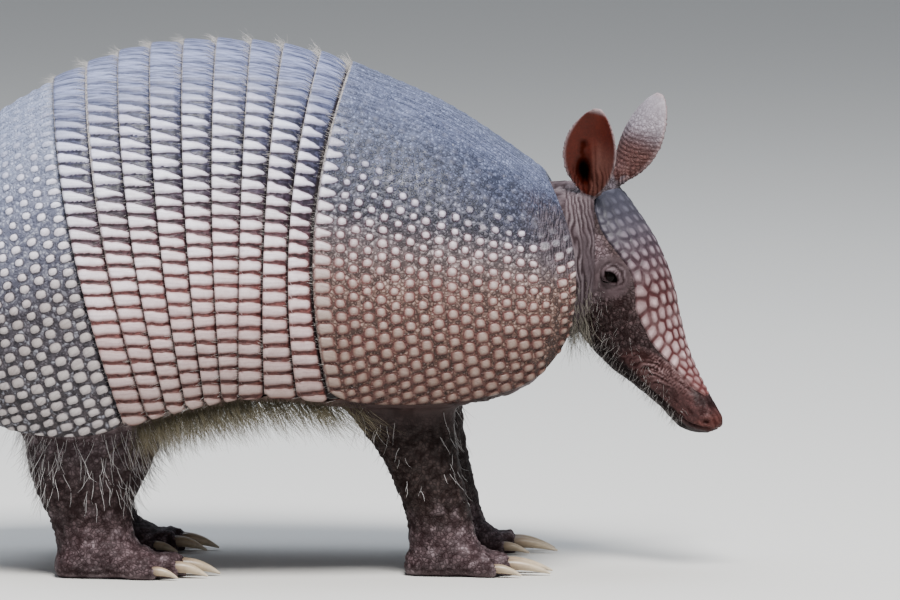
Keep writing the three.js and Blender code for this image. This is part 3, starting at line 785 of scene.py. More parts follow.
def cells3(q, jitter, seed):
    """Distances to the nearest and second cell centre, in cells, and the cell's number."""
    i = np.floor(q).astype(int)
    first = np.full(len(q), 9.0)
    second = first.copy()
    number = np.zeros(len(q))
    for corner in range(27):
        k = i + np.array([corner % 3, corner // 3 % 3, corner // 9]) - 1
        centre = k + 0.5 + jitter * (np.stack([
            hash_unit(k[:, 0] + 31 * axis + seed, k[:, 1] + 57 * axis, k[:, 2])
            for axis in range(3)], -1) - 0.5)
        d = np.linalg.norm(q - centre, axis=1)
        nearer = d < first
        second = np.where(nearer, first, np.minimum(second, d))
        number = np.where(nearer, hash_unit(k[:, 0] + 5, k[:, 1] + 9, k[:, 2] + 13), number)
        first = np.where(nearer, d, first)
    return first, second, number


def loft(rings):
    """Points, quads and closing faces of a body through rings of points."""
    rings = np.asarray(rings, float)
    rows, columns = rings.shape[:2]
    return (rings.reshape(-1, 3), loop_quads(rows, columns),
            [np.arange(columns)[::-1], (rows - 1) * columns + np.arange(columns)])


def ring_angles(sides):
    return 2 * math.pi * np.arange(sides) / sides


def table_rows(table, count):
    return table_at(np.asarray(table, float), np.linspace(0, len(table) - 1, count))


def head_body():
    rows = np.linspace(0, len(HEAD_STATIONS) - 1, 90)
    along = np.interp(rows, np.arange(len(HEAD_STATIONS)), HEAD_STATIONS[:, 0])
    return loft(head_point(along[:, None], ring_angles(80)[None, :], 0.0))


def neck_body():
    """Loft along x through (x, y, z, half-height, half-width) rows."""
    b = ring_angles(64)
    x, y, z, high, wide = table_rows(NECK, 40).T[..., None]
    return loft(np.stack([x + 0 * b, y + wide * np.sin(b), z + high * np.cos(b)], -1))


def ellipsoid(centre, radii, axes=np.eye(3)):
    t = np.linspace(0.02, math.pi - 0.02, 24)[:, None]
    b = ring_angles(32)[None, :]
    local = np.stack([np.cos(t) + 0 * b, np.sin(t) * np.cos(b), np.sin(t) * np.sin(b)], -1)
    return loft(np.asarray(centre) + (local * radii) @ axes)


def ear_frame(ear):
    """Base point and the ear's own axes: up its length, across it, and out of its opening."""
    outward = np.array([1, 1, ear["side"]])
    lean = unit((np.array(ear["lean"]) * outward) @ HEAD_AXES)
    opening = (np.array([0.35, 0, 1]) * outward) @ HEAD_AXES
    opening = unit(opening - lean * (opening @ lean))
    base = HEAD_ORIGIN + (np.array(ear["base"]) * outward) @ HEAD_AXES
    return base, lean, np.cross(lean, opening), opening


def ear_width(ear, u, turn):
    reach = np.where(turn * ear["side"] > 0, ear["rear"], ear["front"])
    tip = np.sqrt(np.clip(1 - np.clip((u - 0.9) / 0.115, 0, 1) ** 2, 0, 1))
    return reach * np.sin(math.pi * (0.04 + 0.92 * u)) ** 0.7 * (0.25 + 0.75 * tip)


def ear_cup(width, u, turn):
    return 0.42 * width * turn ** 2 * (1.25 - 0.7 * u)


def ear_body(ear):
    base, lean, across, opening = ear_frame(ear)
    u = np.linspace(0, 1, 60)[:, None]
    turn = np.linspace(-1, 1, 44)
    turn = np.concatenate([turn, turn[::-1]])[None, :]
    face = np.concatenate([np.zeros(44), np.ones(44)])[None, :]
    width = ear_width(ear, u, turn)
    cup = ear_cup(width, u, turn)
    thick = EAR_THICK * (1.25 - 0.35 * u) * (1 - 0.25 * turn ** 4)
    length = lerp(-4, ear["length"], u)
    out = cup - face * thick
    return loft(base + length[..., None] * lean + (width * turn)[..., None] * across
                + out[..., None] * opening)


def trunk_body():
    stops = np.concatenate([[0.62], np.arange(1, REAR_END - 0.5, 0.25), [REAR_END - 0.5]])
    a = np.linspace(-SHELL_WRAP, SHELL_WRAP, 81)
    rings = []
    for v in stops:
        ring = shell_point(np.full_like(a, v), a, np.full_like(a, -SKIN_DEPTH))
        edge = ring[-1]
        b = math.pi * np.arange(1, 30) / 30
        drop = 5 * np.sin(b) ** 0.8
        belly = np.stack([edge[0] + 0 * b, edge[1] * np.cos(b), edge[2] - drop], -1)
        rings.append(np.concatenate([ring, belly]))
    return loft(rings)


def leg_body(leg):
    b = ring_angles(48)
    z, x, y, long, wide = table_rows(leg.table, 50).T[..., None]
    return loft(np.stack([x + leg.shift + long * np.cos(b), leg.side * y + wide * np.sin(b),
                          z + 0 * b], -1))


def sole_ring(x, y, half_width, height, sides=40):
    b = ring_angles(sides)
    z = np.maximum(height * (0.42 + 0.58 * np.cos(b)), 0)
    return np.stack([x + 0 * b, y + half_width * np.sin(b), z], -1)


def foot_bodies(leg):
    bodies = [loft([sole_ring(leg.x + dx, leg.y, w, h) for dx, w, h in table_rows(leg.pad, 30)])]
    for across, start, end, spread, radius, _ in leg.toes:
        angle = leg.side * math.radians(spread)
        rings = []
        for share in np.linspace(0, 1, 12):
            swell = np.interp(share, [0, 0.35, 0.75, 1], [0.9, 0.96, 1.06, 0.66])
            reach = (end - start) * share
            rings.append(sole_ring(leg.x + start + reach * math.cos(angle),
                                   leg.y + leg.side * across + reach * math.sin(angle),
                                   radius * swell, radius * 2.1 * swell, 24))
        bodies.append(loft(rings))
    return bodies


def united(name, bodies, size, passes):
    """One closed surface round overlapping bodies: points in mm and quads."""
    offset, points, faces, caps = 0, [], [], []
    for body in bodies:
        p, f, c = oriented(*body)
        points.append(p)
        faces.append(f + offset)
        caps += [cap + offset for cap in c]
        offset += len(p)
    rough = mesh_object(name, np.concatenate(points), np.concatenate(faces), None, caps=caps)
    remesh = rough.modifiers.new("union", "REMESH")
    remesh.mode = "VOXEL"
    remesh.voxel_size = size * MM
    mesh = bpy.data.meshes.new_from_object(
        rough.evaluated_get(bpy.context.evaluated_depsgraph_get()))
    bpy.data.objects.remove(rough)
    points = np.empty(len(mesh.vertices) * 3, np.float32)
    mesh.vertices.foreach_get("co", points)
    corners = np.empty(len(mesh.loops), np.int32)
    mesh.loops.foreach_get("vertex_index", corners)
    points = points.reshape(-1, 3).astype(float) / MM - SHIFT
    faces = corners.reshape(-1, 4)
    bpy.data.meshes.remove(mesh)
    for _ in range(passes):
        for share in (0.55, -0.50):    # in, then back out, so that it doesn't shrink
            points = points + share * (neighbour_mean(points, faces) - points)
    return points, faces


def neighbour_mean(points, faces):
    a = faces.ravel()
    b = np.roll(faces, -1, 1).ravel()
    count = np.bincount(a, minlength=len(points)) + np.bincount(b, minlength=len(points))
    return np.stack([(np.bincount(a, points[b, i], len(points))
                      + np.bincount(b, points[a, i], len(points))) / count for i in range(3)], -1)


def vertex_normals(points, faces):
    q = points[faces]
    n = np.cross(q[:, 2] - q[:, 0], q[:, 3] - q[:, 1])
    return unit(np.stack([np.bincount(faces.ravel(), np.repeat(n[:, i], 4), len(points))
                          for i in range(3)], -1))


def head_coordinates(points):
    """Along, angle from the forehead (left positive), distance off the head's surface."""
    local = (points - HEAD_ORIGIN) @ HEAD_AXES.T
    row = table_at(HEAD_STATIONS, head_row(local[:, 0]))
    c = signed_power((local[:, 1] - row[:, 1]) / row[:, 2], 1 / HEAD_EXPONENT)
    s = signed_power(local[:, 2] / row[:, 3], 1 / HEAD_EXPONENT)
    around = np.arctan2(s, c)
    radius = (row[:, 2] + row[:, 3]) / 2
    return local[:, 0], around, (np.hypot(c, s) - 1) * radius, radius


def mix_tints(base, *layers):
    """Colours laid over one another; each layer is (amount, colour)."""
    out = np.broadcast_to(np.asarray(base, float), (len(layers[0][0]), 3)).copy()
    for amount, colour in layers:
        out += np.clip(amount, 0, 1)[:, None] * (np.asarray(colour) - out)
    return out


def eye_field(along, around, side):
    """Position in the eye's own plane: x along the opening, y towards the upper lid."""
    dx = along - EYE_SLIT["along"]
    dy = (EYE_SLIT["around"] - around * side) * HEAD_ROUND
    cosine15, sine15 = 0.966, 0.259
    return dx * cosine15 + dy * sine15, -dx * sine15 + dy * cosine15


def neck_pleats(points):
    """Upright folds of the neck, from -1 to 1."""
    fold_x = points[:, 0] + 0.109 * (points[:, 2] - NECK_MIDDLE[2])
    phase = (fold_x / 1.9 + 0.7 * noise3(points * [1, 0.35, 0.3], 4.2, 6)
             + 0.5 * noise3(points * [1, 0.5, 0.4], 1.8, 7))
    depth = 0.75 + 0.6 * noise3(points * [1, 0.4, 0.3], 3.0, 8)
    return np.clip(np.sin(2 * math.pi * phase) * depth - 0.1, -1, 1)


def neck_layers(amount, pleat, z):
    # the neck's tint, with a painted highlight on the folds' ridges and darker towards the bottom
    amounts = amount, amount * smooth(pleat, 0.2, 0.95), amount * smooth(z, 118, 96)
    return zip(amounts, NECK_FOLD_TINTS)


class Relief:
    """Height over the rough surface in mm, and how dark its grooves are: dark joints between
    scales, and painted shade in creases, folds and pits.
    """

    def __init__(self, count):
        self.move, self.groove = np.zeros((2, count))

    def cut(self, amount):
        self.groove = np.maximum(self.groove, amount)


def shape_eyelids(relief, along, around, off, coarse, fine):
    """The lids lie over the ball, with folds round them; also returns where the upper lid's folds
    take a painted highlight.
    """
    lids, socket, high_lid, fold_light = np.zeros((4, len(along)))
    for side in (-1, 1):
        x, y = eye_field(along, around, side)
        near = (np.hypot(x, y) < 11) & (off > -4) & (off < 4) & (around * side > 0)
        bow = np.clip(1 - (x / EYE_SLIT["half"]) ** 2, 0, 1)
        high = np.where(y > 0, EYE_SLIT["upper"], EYE_SLIT["lower"])
        d = np.where(np.abs(x) < EYE_SLIT["half"], np.abs(y) - high * bow,
                     np.hypot(np.abs(x) - EYE_SLIT["half"], y))
        t = np.hypot(x + 1.6, y + 0.3)
        ball = -EYE_DEPTH + np.sqrt(np.clip(EYE_RADIUS ** 2 - t ** 2, 0, None))
        cover = np.where(t < EYE_RADIUS, ball + 0.75, -9)
        sulcus = -0.55 * bell(np.hypot(x * 0.92, y) - 4.6, 1.1)
        ring = np.hypot(x * 0.92, y - 0.3)
        sweep = np.arctan2(y, x)
        folds = np.cos(2 * math.pi * (ring - 2.7 - 0.9 * np.sin(sweep + 0.6)) / 1.9
                       + 2.6 * coarse + 2.0 * fine)
        window = smooth(ring, 1.9, 2.9) * smooth(ring, 8.0, 4.8)
        window = window * lerp(0.35, 1.0, smooth(np.sin(sweep + 0.25), -0.3, 0.5))
        outside = np.maximum(0.15 * bell(t, 4.5) + sulcus, cover) + 0.20 * folds * window
        outside = outside + 0.10 * bell(d - 0.35, 0.35)
        weight = near * smooth(np.hypot(x, y), 10.5, 7.0)
        relief.move += weight * lerp(np.maximum(ball - 1.0, -2.4), outside,
                                     smooth(d, -0.28, 0.22))
        relief.cut(weight * window * smooth(folds, 0.1, -0.9) * smooth(d, 0, 0.6))
        lids = np.maximum(lids, weight)
        socket = np.maximum(socket, near * smooth(d, 0.75, 0.25))
        high_lid = np.maximum(high_lid, weight * smooth(0.75 * y - 0.75 * x, -2.6, 2.0))
        fold_light = np.maximum(fold_light, weight * np.maximum(
            window * smooth(folds, 0.2, 0.95), bell(d - 0.45, 0.4)))
    return lids, socket, fold_light * high_lid


def shape_muzzle(relief, free, along, turn, radius, coarse, fine):
    """Creases that run up to the bridge of the nose, the bare tip, the mouth and the nostrils."""
    degrees = np.degrees(turn)
    lead = along - (70.5 + 0.0128 * np.clip(93 - degrees, 0, 93) ** 1.8)
    crease = smooth(lead, -5, 0) * smooth(lead, 24, 13) * smooth(degrees, 22, 34)
    crease *= smooth(degrees, 122, 104) * smooth(along, 106, 98)
    flow = np.stack([lead + 2.2 * coarse + 1.0 * fine, degrees / 9 + 0 * lead, 0 * lead], -1)
    wave = np.clip(1.2 * noise3(flow, np.array([0.8, 2.2, 1]), 8)
                   + 1.4 * noise3(flow, np.array([0.5, 1.2, 1]), 9), -1, 1)
    relief.move += free * crease * 0.30 * wave
    relief.cut(free * crease * smooth(wave, 0.1, -0.85))
    tip = smooth(along, 84, 92) * (1 - crease)
    grain = noise3(np.stack([along / 3.2 + 0.5 * coarse, degrees / 6.5, 0 * along], -1), 1.0, 17)
    relief.move += free * tip * 0.22 * grain
    relief.cut(free * tip * 0.8 * smooth(grain, 0.0, -0.45))
    mouth_line = np.interp(along, [82, 90, 100, 108, 112], np.radians([121, 116, 109, 101, 88]))
    gape = np.abs(turn - mouth_line) * radius
    mouth = bell(gape, 0.55) * smooth(along, 81, 87)
    relief.move -= free * 0.75 * mouth
    relief.move += free * 0.25 * bell(gape - 1.4, 0.7) * smooth(along, 81, 87)
    relief.cut(free * mouth)
    nostril = np.hypot(along - 110.6, (turn - math.radians(62)) * 6.2)
    relief.move += free * (0.35 * bell(nostril - 1.9, 0.8) - 1.7 * bell(nostril, 1.05))
    relief.cut(free * bell(nostril, 1.1))
    return crease, wave


def shape_ears(relief, points, off, coarse, fine):
    """Red and bare inside, grey and scaly behind, with ridges round the canal."""
    inner, outer, height, rim, canal, front_part = np.zeros((6, len(points)))
    for ear in EARS.values():
        base, lean, across, opening = ear_frame(ear)
        rise, aside, out = ((points - base) @ np.stack([lean, across, opening], 1)).T
        u = (rise + 4) / (ear["length"] + 4)
        inside_u = np.clip(u, 0, 1)
        width = ear_width(ear, inside_u, np.sign(aside))
        w = aside / np.maximum(width, 0.5)
        depth = out - (ear_cup(width, inside_u, np.clip(w, -1, 1)) - EAR_THICK / 2)
        near = (u > 0.0) & (u < 1.08) & (np.abs(w) < 1.35) & (np.abs(depth) < 3.5)
        near = near * smooth(off, 0.6, 2.6)
        within = near * smooth(depth, -0.25, 0.25)
        edge = np.maximum(smooth(np.abs(w), 0.86, 0.97), smooth(u, 0.93, 0.99))
        inner = np.maximum(inner, within * (1 - 0.9 * edge))
        outer = np.maximum(outer, near * smooth(depth, 0.25, -0.25))
        rim = np.maximum(rim, near * edge)
        height = np.where(near > 0.1, inside_u, height)
        turned = w * ear["side"]
        front_part = np.where(near > 0.1, smooth(-turned, -0.25, 0.25), front_part)
        pit = np.hypot((u - 0.26) * 40 / 7.5, (turned - 0.34) * width / 3.4)
        canal = np.maximum(canal, within * smooth(pit, 1.35, 0.35))
        spot = np.hypot((u - 0.50 + 0.1 * fine) * 40 / 3.2, (turned - 0.38) * width / 1.8)
        canal = np.maximum(canal, 0.6 * within * smooth(spot, 1.6, 0.2))
        ridge = bell(np.abs(turned + 0.12 - 0.45 * (u - 0.3)) * width - 1.2, 1.3)
        ridge *= smooth(u, 0.08, 0.2) * smooth(u, 0.68, 0.5)
        relief.move += within * (0.55 * ridge * (1 - canal) - 1.0 * canal) * (1 - edge)
        relief.move += within * 0.12 * coarse
        back_rows = np.sin(2 * math.pi * (u * 40 - 3.0 * w * w) / 1.9 + 0.6 * fine)
        amount = near * smooth(depth, 0.2, -0.4) * smooth(u, 0.95, 0.5)
        relief.move += amount * 0.10 * back_rows
        relief.cut(amount * smooth(back_rows, 0.2, -0.9) * smooth(u, 0.75, 0.45))
    return inner, outer, height, rim, canal, front_part


def shape_head(points, faces):
    """Relief, colour, dark joints and painted crease shade, scales and gloss of the head, the ears
    and the neck's front.
    """
    normals = vertex_normals(points, faces)
    along, around, off, radius = head_coordinates(points)
    turn = np.abs(around)
    degrees = np.degrees(turn)
    on_head = smooth(off, 2.6, 0.6) * smooth(along, -7, 0)
    coarse, fine, tiny = noise3(points, 6.0, 1), noise3(points, 2.4, 2), noise3(points, 1.3, 3)
    relief = Relief(len(points))
    lids, socket, lit_lids = shape_eyelids(relief, along, around, off, coarse, fine)
    free = on_head * (1 - lids)
    crease, wave = shape_muzzle(relief, free, along, turn, radius, coarse, fine)
    # cheek: close net of wrinkles
    cheek = free * smooth(degrees, 40, 62) * smooth(along, 98, 80) * (1 - crease)
    first, second, _ = cells3(np.stack([along / 2.6, turn * radius / 1.9, 0 * along], -1), 0.9, 4)
    net = smooth(second - first, 0.0, 0.42)
    relief.move += cheek * (0.30 * net - 0.15 + 0.22 * coarse)
    relief.cut(cheek * (1 - smooth(second - first, 0.02, 0.25)))
    # under the head shield the skin lies a little lower
    covered = smooth(degrees, 46, 38) * smooth(along, 4, 9) * smooth(along, 99, 95)
    relief.move -= free * 0.5 * covered
    # neck: upright folds between the shield and the head
    pleat = neck_pleats(points)
    pleated = (1 - on_head) * smooth(off, 0.8, 3.0) * smooth(points[:, 2], 174, 167)
    relief.cut(0.95 * pleated * smooth(pleat, 0.0, -0.75))
    inner, outer, height, rim, canal, front_part = shape_ears(relief, points, off, coarse, fine)
    on_ear = np.clip(np.maximum(inner, outer), 0, 1)
    pleated = pleated * (1 - on_ear)
    relief.move += pleated * 0.28 * pleat

    behind_eye = smooth(along, 50, 34) * smooth(degrees, 46, 60) * smooth(degrees, 140, 112)
    snout = smooth(along, 84, 100) * smooth(degrees, 118, 96)
    tint = mix_tints(
        (0.125, 0.098, 0.108),
        (on_head, (0.062, 0.040, 0.040)),
        (on_head * behind_eye, (0.225, 0.175, 0.190)),
        (on_head * smooth(along, 16, 4), (0.085, 0.072, 0.082)),
        (on_head * crease, (0.080, 0.038, 0.037)),
        # painted highlight on the creases' ridges, on the upper side of the muzzle
        (on_head * crease * smooth(wave, 0.0, 0.8) * smooth(degrees, 98, 74)
         * (0.45 + 0.55 * smooth(fine, -0.35, 0.25)), (0.235, 0.150, 0.150)),
        (on_head * snout, (0.062, 0.026, 0.025)),
        (on_head * snout * smooth(coarse, 0.05, 0.45) * 0.8, (0.020, 0.010, 0.010)),
        (on_head * smooth(along, 106, 111.5) * smooth(degrees, 110, 80), (0.088, 0.031, 0.026)),
        (on_head * smooth(degrees, 104, 124) * smooth(along, 50, 66), (0.026, 0.018, 0.018)),
        # painted shade and highlight round the eyes: the lids darkened, the upper lid's folds
        # lightened
        (lids * 0.9, (0.066, 0.044, 0.048)),
        (lit_lids * 0.6, (0.200, 0.155, 0.170)),
        ((1 - on_head) * (1 - on_ear), NECK_TINT),
        *neck_layers(pleated, pleat, points[:, 2]),
        (outer * smooth(height, 0.32, 0.66), (0.285, 0.255, 0.285)),
        (outer * smooth(height, 0.66, 0.32), (0.092, 0.043, 0.038)),
        (inner, (0.075, 0.010, 0.004)),
        (inner * front_part * smooth(height, 0.75, 0.35), (0.120, 0.045, 0.034)),
        (rim * 0.55, (0.30, 0.22, 0.22)),
        # painted shade: the ear canals, the pits near them and the lid openings nearly black
        (canal, (0.001, 0.0004, 0.0004)),
        (socket, (0.006, 0.003, 0.003)))
    tint *= (1 + 0.16 * coarse + 0.10 * tiny)[:, None]
    scaly = np.clip(outer * smooth(height, 1.0, 0.6) * 0.6
                    + free * (1 - 0.55 * smooth(along, 72, 92)) * (1 - 0.8 * crease), 0, 1)
    gloss = np.clip(0.25 + inner * 0.4 + snout * 0.25, 0, 1) - 1.6 * np.maximum(canal, socket)
    return points + normals * relief.move[:, None], tint, relief.groove, scaly, gloss


def shape_body(points, faces):
    """The same for the trunk, the legs, the feet and the neck's rear."""
    normals = vertex_normals(points, faces)
    coarse, fine = noise3(points, 9.0, 11), noise3(points, 3.5, 12)
    x, y, z = points.T
    relief = Relief(len(points))
    on_leg = np.zeros(len(points))
    fore = smooth(x, -30, 10)
    # scales: cross rows round the legs, a close net on the feet
    rows = points / [4.2, 4.2, 3.3]
    for leg in LIMBS:
        leg_x = x - np.interp(z, leg.table[::-1, 0], leg.table[::-1, 1]) - leg.shift
        leg_y = y - leg.y
        on_leg = np.maximum(on_leg, smooth(np.hypot(leg_x / 40, leg_y / 26), 1.25, 0.95))
        mine = (np.abs(leg_y) < 27) & (np.abs(x - leg.x) < 48) & (z > 17)
        turn = np.arctan2(leg_y, leg_x)
        ring = np.stack([turn * 16 / 4.4, z / 2.7 + 0.25 * np.cos(turn),
                         0 * z + 50 * leg.shift], -1)
        rows = np.where(mine[:, None], ring, rows)
    on_leg *= smooth(z, 74, 58)
    first, second, number = cells3(rows, 0.6, 21)
    scaly = on_leg * smooth(z, 0.6, 2.5)
    relief.move += scaly * (0.7 * smooth(second - first, 0.02, 0.4) - 0.35 + 0.15 * coarse)
    relief.cut(scaly * (1 - smooth(second - first, 0.0, 0.26)))
    # the trunk's bare skin: soft folds, upright on the chest and rump, across the belly
    bare = (1 - on_leg) * smooth(x, JOINT - 3, JOINT - 9)
    upright = np.maximum(smooth(x, 62, 84), smooth(x, -112, -130))
    fold = 1.6 * noise3(points * lerp(np.array([1, 0.35, 1.0]), np.array([1, 1, 0.28]),
                                      upright[:, None]), 4.6, 14)
    fold = np.clip(fold + 0.8 * noise3(points * [1, 1, 0.4], 2.6, 15), -1, 1)
    relief.move += bare * (0.75 * fold + 0.5 * coarse) * lerp(0.5, 1.0, upright)
    relief.cut(bare * 0.75 * smooth(fold, 0.0, -0.8))
    pleat, pleated = neck_pleats(points), smooth(x, JOINT - 9, JOINT - 3)
    relief.move += pleated * 0.28 * pleat
    relief.cut(0.95 * pleated * smooth(pleat, 0.0, -0.75))
    relief.move *= smooth(z, 0.2, 1.5)
    tint = mix_tints(
        (0.17, 0.115, 0.098),
        (smooth(x, -104, -124), (0.095, 0.064, 0.062)),
        (smooth(x, 58, 80), NECK_TINT),
        *neck_layers(pleated, pleat, z),
        # painted shade on the flank under the shell's edge, round the forelegs
        (smooth(x, 8, 24) * smooth(z, 98, 80) * smooth(x, 96, 84), (0.036, 0.021, 0.020)),
        (smooth(x, -66, -80) * smooth(z, 96, 70), (0.075, 0.046, 0.046)),
        (on_leg, (0.046, 0.030, 0.030)),
        (on_leg * fore, (0.034, 0.023, 0.021)),
        (on_leg * (1 - fore) * smooth(z, 34, 66), (0.105, 0.082, 0.088)),
        (on_leg * smooth(z, 30, 12), (0.088, 0.060, 0.064)),
        # painted highlights: some scales of the lower legs and feet lightened at random
        (on_leg * smooth(number, 0.72, 0.95) * smooth(z, 40, 14) * 0.8, (0.21, 0.165, 0.175)))
    tint *= (1 + 0.2 * coarse + 0.12 * fine)[:, None]
    points = points + normals * relief.move[:, None]
    points[:, 2] = np.maximum(points[:, 2], 0)
    return points, tint, relief.groove, scaly, np.full(len(points), 0.25)


def skin_material():
    n = Shader("skin")
    tint = n.add("ShaderNodeAttribute", attribute_name="tint").outputs["Color"]
    groove, scaly, gloss = n.attributes("groove", "scaly", "gloss")
    border, pale = n.pebbles(620.0)
    edge = n.span(border, 0.02, 0.22)
    fine = n.noise(1100.0, 4.0)
    lit = n.mix(n.span(pale, 0.1, 0.9), n.multiply(tint, (0.68, 0.66, 0.67)),
                n.multiply(tint, (1.42, 1.4, 1.42)))
    colour = n.mix(scaly, tint, lit)
    dark = n.multiply(tint, (0.22, 0.17, 0.17))
    colour = n.mix(n.times(n.rest(edge), n.times(scaly, 0.7)), colour, dark)
    # painted shade in the creases, folds and pits, and the dark joints between scales
    colour = n.mix(n.times(groove, 0.85), colour, dark)
    colour = n.mix(n.span(fine, 0.3, 0.75, 0.3, 0.0), colour, dark)
    normal = n.bump(n.times(edge, scaly), 0.00022, 0.8)
    normal = n.bump(fine, 0.00010, 0.5, normal)
    rough = n.math("SUBTRACT", 0.66, n.times(gloss, 0.28))
    shine = n.times(n.span(gloss, -0.4, 0.2), n.math("SUBTRACT", 0.16, n.times(groove, 0.12)))
    return n.finish(colour, rough, normal, shine)


def open_loops(faces):
    """The open edges of a mesh of quads as loops of vertices."""
    edges = np.concatenate([faces[:, [i, (i + 1) % 4]] for i in range(4)])
    _, first, count = np.unique(np.sort(edges, 1), axis=0, return_index=True, return_counts=True)
    after = {}
    for a, b in edges[first[count == 1]]:
        after.setdefault(int(a), []).append(int(b))
    loops = []
    while after:
        start = here = next(iter(after))
        loop = []
        while here in after and (here != start or not loop):
            loop.append(here)
            ways = after[here]
            onward = ways.pop()
            if not ways:
                del after[here]
            here = onward
        loops.append(np.array(loop))
    return loops


def split_loops(points, faces):
    """The rim at the joint in order round the neck, and the other loops as closing faces."""
    loops = sorted(open_loops(faces), key=len)
    near = [i for i, loop in enumerate(loops) if abs(points[loop, 0].mean() - JOINT) < 4]
    loop = loops.pop(near[-1])

    def turns():
        across, up = (points[loop] - NECK_MIDDLE)[:, 1:].T
        return np.arctan2(across, up)

    loop = np.roll(loop, -int(np.argmin(turns())))
    turn = np.unwrap(turns())
    if turn[-1] < turn[0]:
        loop = np.concatenate([loop[:1], loop[:0:-1]])
        turn = np.unwrap(turns())
    return (loop, np.maximum.accumulate(turn)), [other[::-1] for other in loops]


def bridge(points, one, other):
    """Triangles that join two rims."""
    (a, ta), (b, tb) = one, other
    i = j = 0
    made = []
    while i < len(a) or j < len(b):
        next_a = ta[i + 1] if i + 1 < len(a) else (ta[0] + 2 * math.pi if i < len(a) else 99)
        next_b = tb[j + 1] if j + 1 < len(b) else (tb[0] + 2 * math.pi if j < len(b) else 99)
        p, q = a[i % len(a)], b[j % len(b)]
        if next_a <= next_b:
            i += 1
            made.append([p, q, a[i % len(a)]])
        else:
            j += 1
            made.append([p, q, b[j % len(b)]])
    made = np.array(made)
    q = points[made]
    outward = q.mean(1) - NECK_MIDDLE
    outward[:, 0] = 0
    inside_out = np.sum(np.cross(q[:, 1] - q[:, 0], q[:, 2] - q[:, 0]) * outward, 1) < 0
    made[inside_out] = made[inside_out][:, ::-1]
    return made


def kept(shaped, faces, keep):
    """The chosen vertices, their values, and the faces that use only them."""
    faces = faces[keep[faces].all(1)]
    used = np.unique(faces)
    renumber = np.full(len(keep), -1)
    renumber[used] = np.arange(len(used))
    return [values[used] for values in shaped], renumber[faces]


def build_skin():
    """Head and body, each united from rough bodies and shaped, then joined round the neck."""
    bodies = [head_body(), neck_body()]
    for ear in EARS.values():
        base, lean, across, opening = ear_frame(ear)
        bodies += [ear_body(ear), ellipsoid(base - lean * 1.5 - opening * 1.2, (5, 5.2, 2.4),
                                            np.stack([lean, across, opening]))]
    points, faces = united("head_union", bodies, HEAD_VOXEL, 5)
    keep = (points[:, 0] > JOINT) | (points[:, 2] > 168)
    head, faces = kept(shape_head(points, faces), faces, keep)
    bodies = [trunk_body(), neck_body(), ellipsoid(*RUMP)]
    for leg in LIMBS:
        bodies += [leg_body(leg), *foot_bodies(leg)]
    points, body_faces = united("body_union", bodies, BODY_VOXEL, 6)
    x, _, z = points.T
    hidden = (z > FLAT_BACK["above"]) & (x > FLAT_BACK["ahead"]) & (x < FLAT_BACK["behind"])
    keep = (x < JOINT - 0.5) & ~hidden
    body, body_faces = kept(shape_body(points, body_faces), body_faces, keep)
    points, tint, groove, scaly, gloss = (np.concatenate(pair) for pair in zip(head, body))
    body_faces = body_faces + len(head[0])
    head_rim, head_caps = split_loops(points, faces)
    body_rim, body_caps = split_loops(points, body_faces)
    caps = list(bridge(points, head_rim, body_rim)) + head_caps + body_caps
    skin = mesh_object("skin", points, np.concatenate([faces, body_faces]), skin_material(),
                       {"groove": groove, "scaly": scaly, "gloss": gloss}, caps)
    tint = np.concatenate([np.clip(tint, 0, 1), np.ones((len(tint), 1))], 1)
    layer = skin.data.color_attributes.new("tint", "FLOAT_COLOR", "POINT")
    layer.data.foreach_set("color", tint.astype(np.float32).ravel())
    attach(skin, "root")
    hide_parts("trunk", "neck", "head", "ear_right", "ear_left",
                *[f"{leg.end}{part}_{leg.name}" for leg in LIMBS for part in ("leg", "foot")])


build_skin()


# ---------------------------------------------------------------- eyes
def build_eyes():
    n = Shader("eye")
    colour = n.mix(n.span(n.noise(300.0), 0.4, 0.7), (0.0010, 0.0006, 0.0005),
                   (0.0030, 0.0018, 0.0014))
    material = n.finish(colour, 0.06, specular=0.06)
    for name, side in (("right", -1), ("left", 1)):
        points, faces, caps = ellipsoid(EYES[side], (EYE_RADIUS,) * 3)
        eye = mesh_object(f"eyeball_{name}", points, faces, material, caps=caps)
        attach(eye, "root")
        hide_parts(f"eye_{name}")


build_eyes()


# ---------------------------------------------------------------- head shield
SHIELD_BORDER = np.array([
    # along the head, half-angle of the shield's border
    [3, 26], [6, 34], [11, 42], [18, 48], [25, 48], [31, 44.5], [37, 42], [44, 42], [49, 48],
    [55, 56], [62, 57], [70, 57], [76, 53], [81, 47], [88, 37], [93, 29.5], [98, 19],
    [101, 9]], float)
SHIELD_TOP = 1.15


def head_w(along):
    """Length in mm of one radian round the head at this place."""
    row = table_at(HEAD_STATIONS, head_row(along))
    return (row[..., 2] + row[..., 3]) / 2 + 1


def border_turn(along):
    return np.radians(np.interp(along, SHIELD_BORDER[:, 0], SHIELD_BORDER[:, 1]))


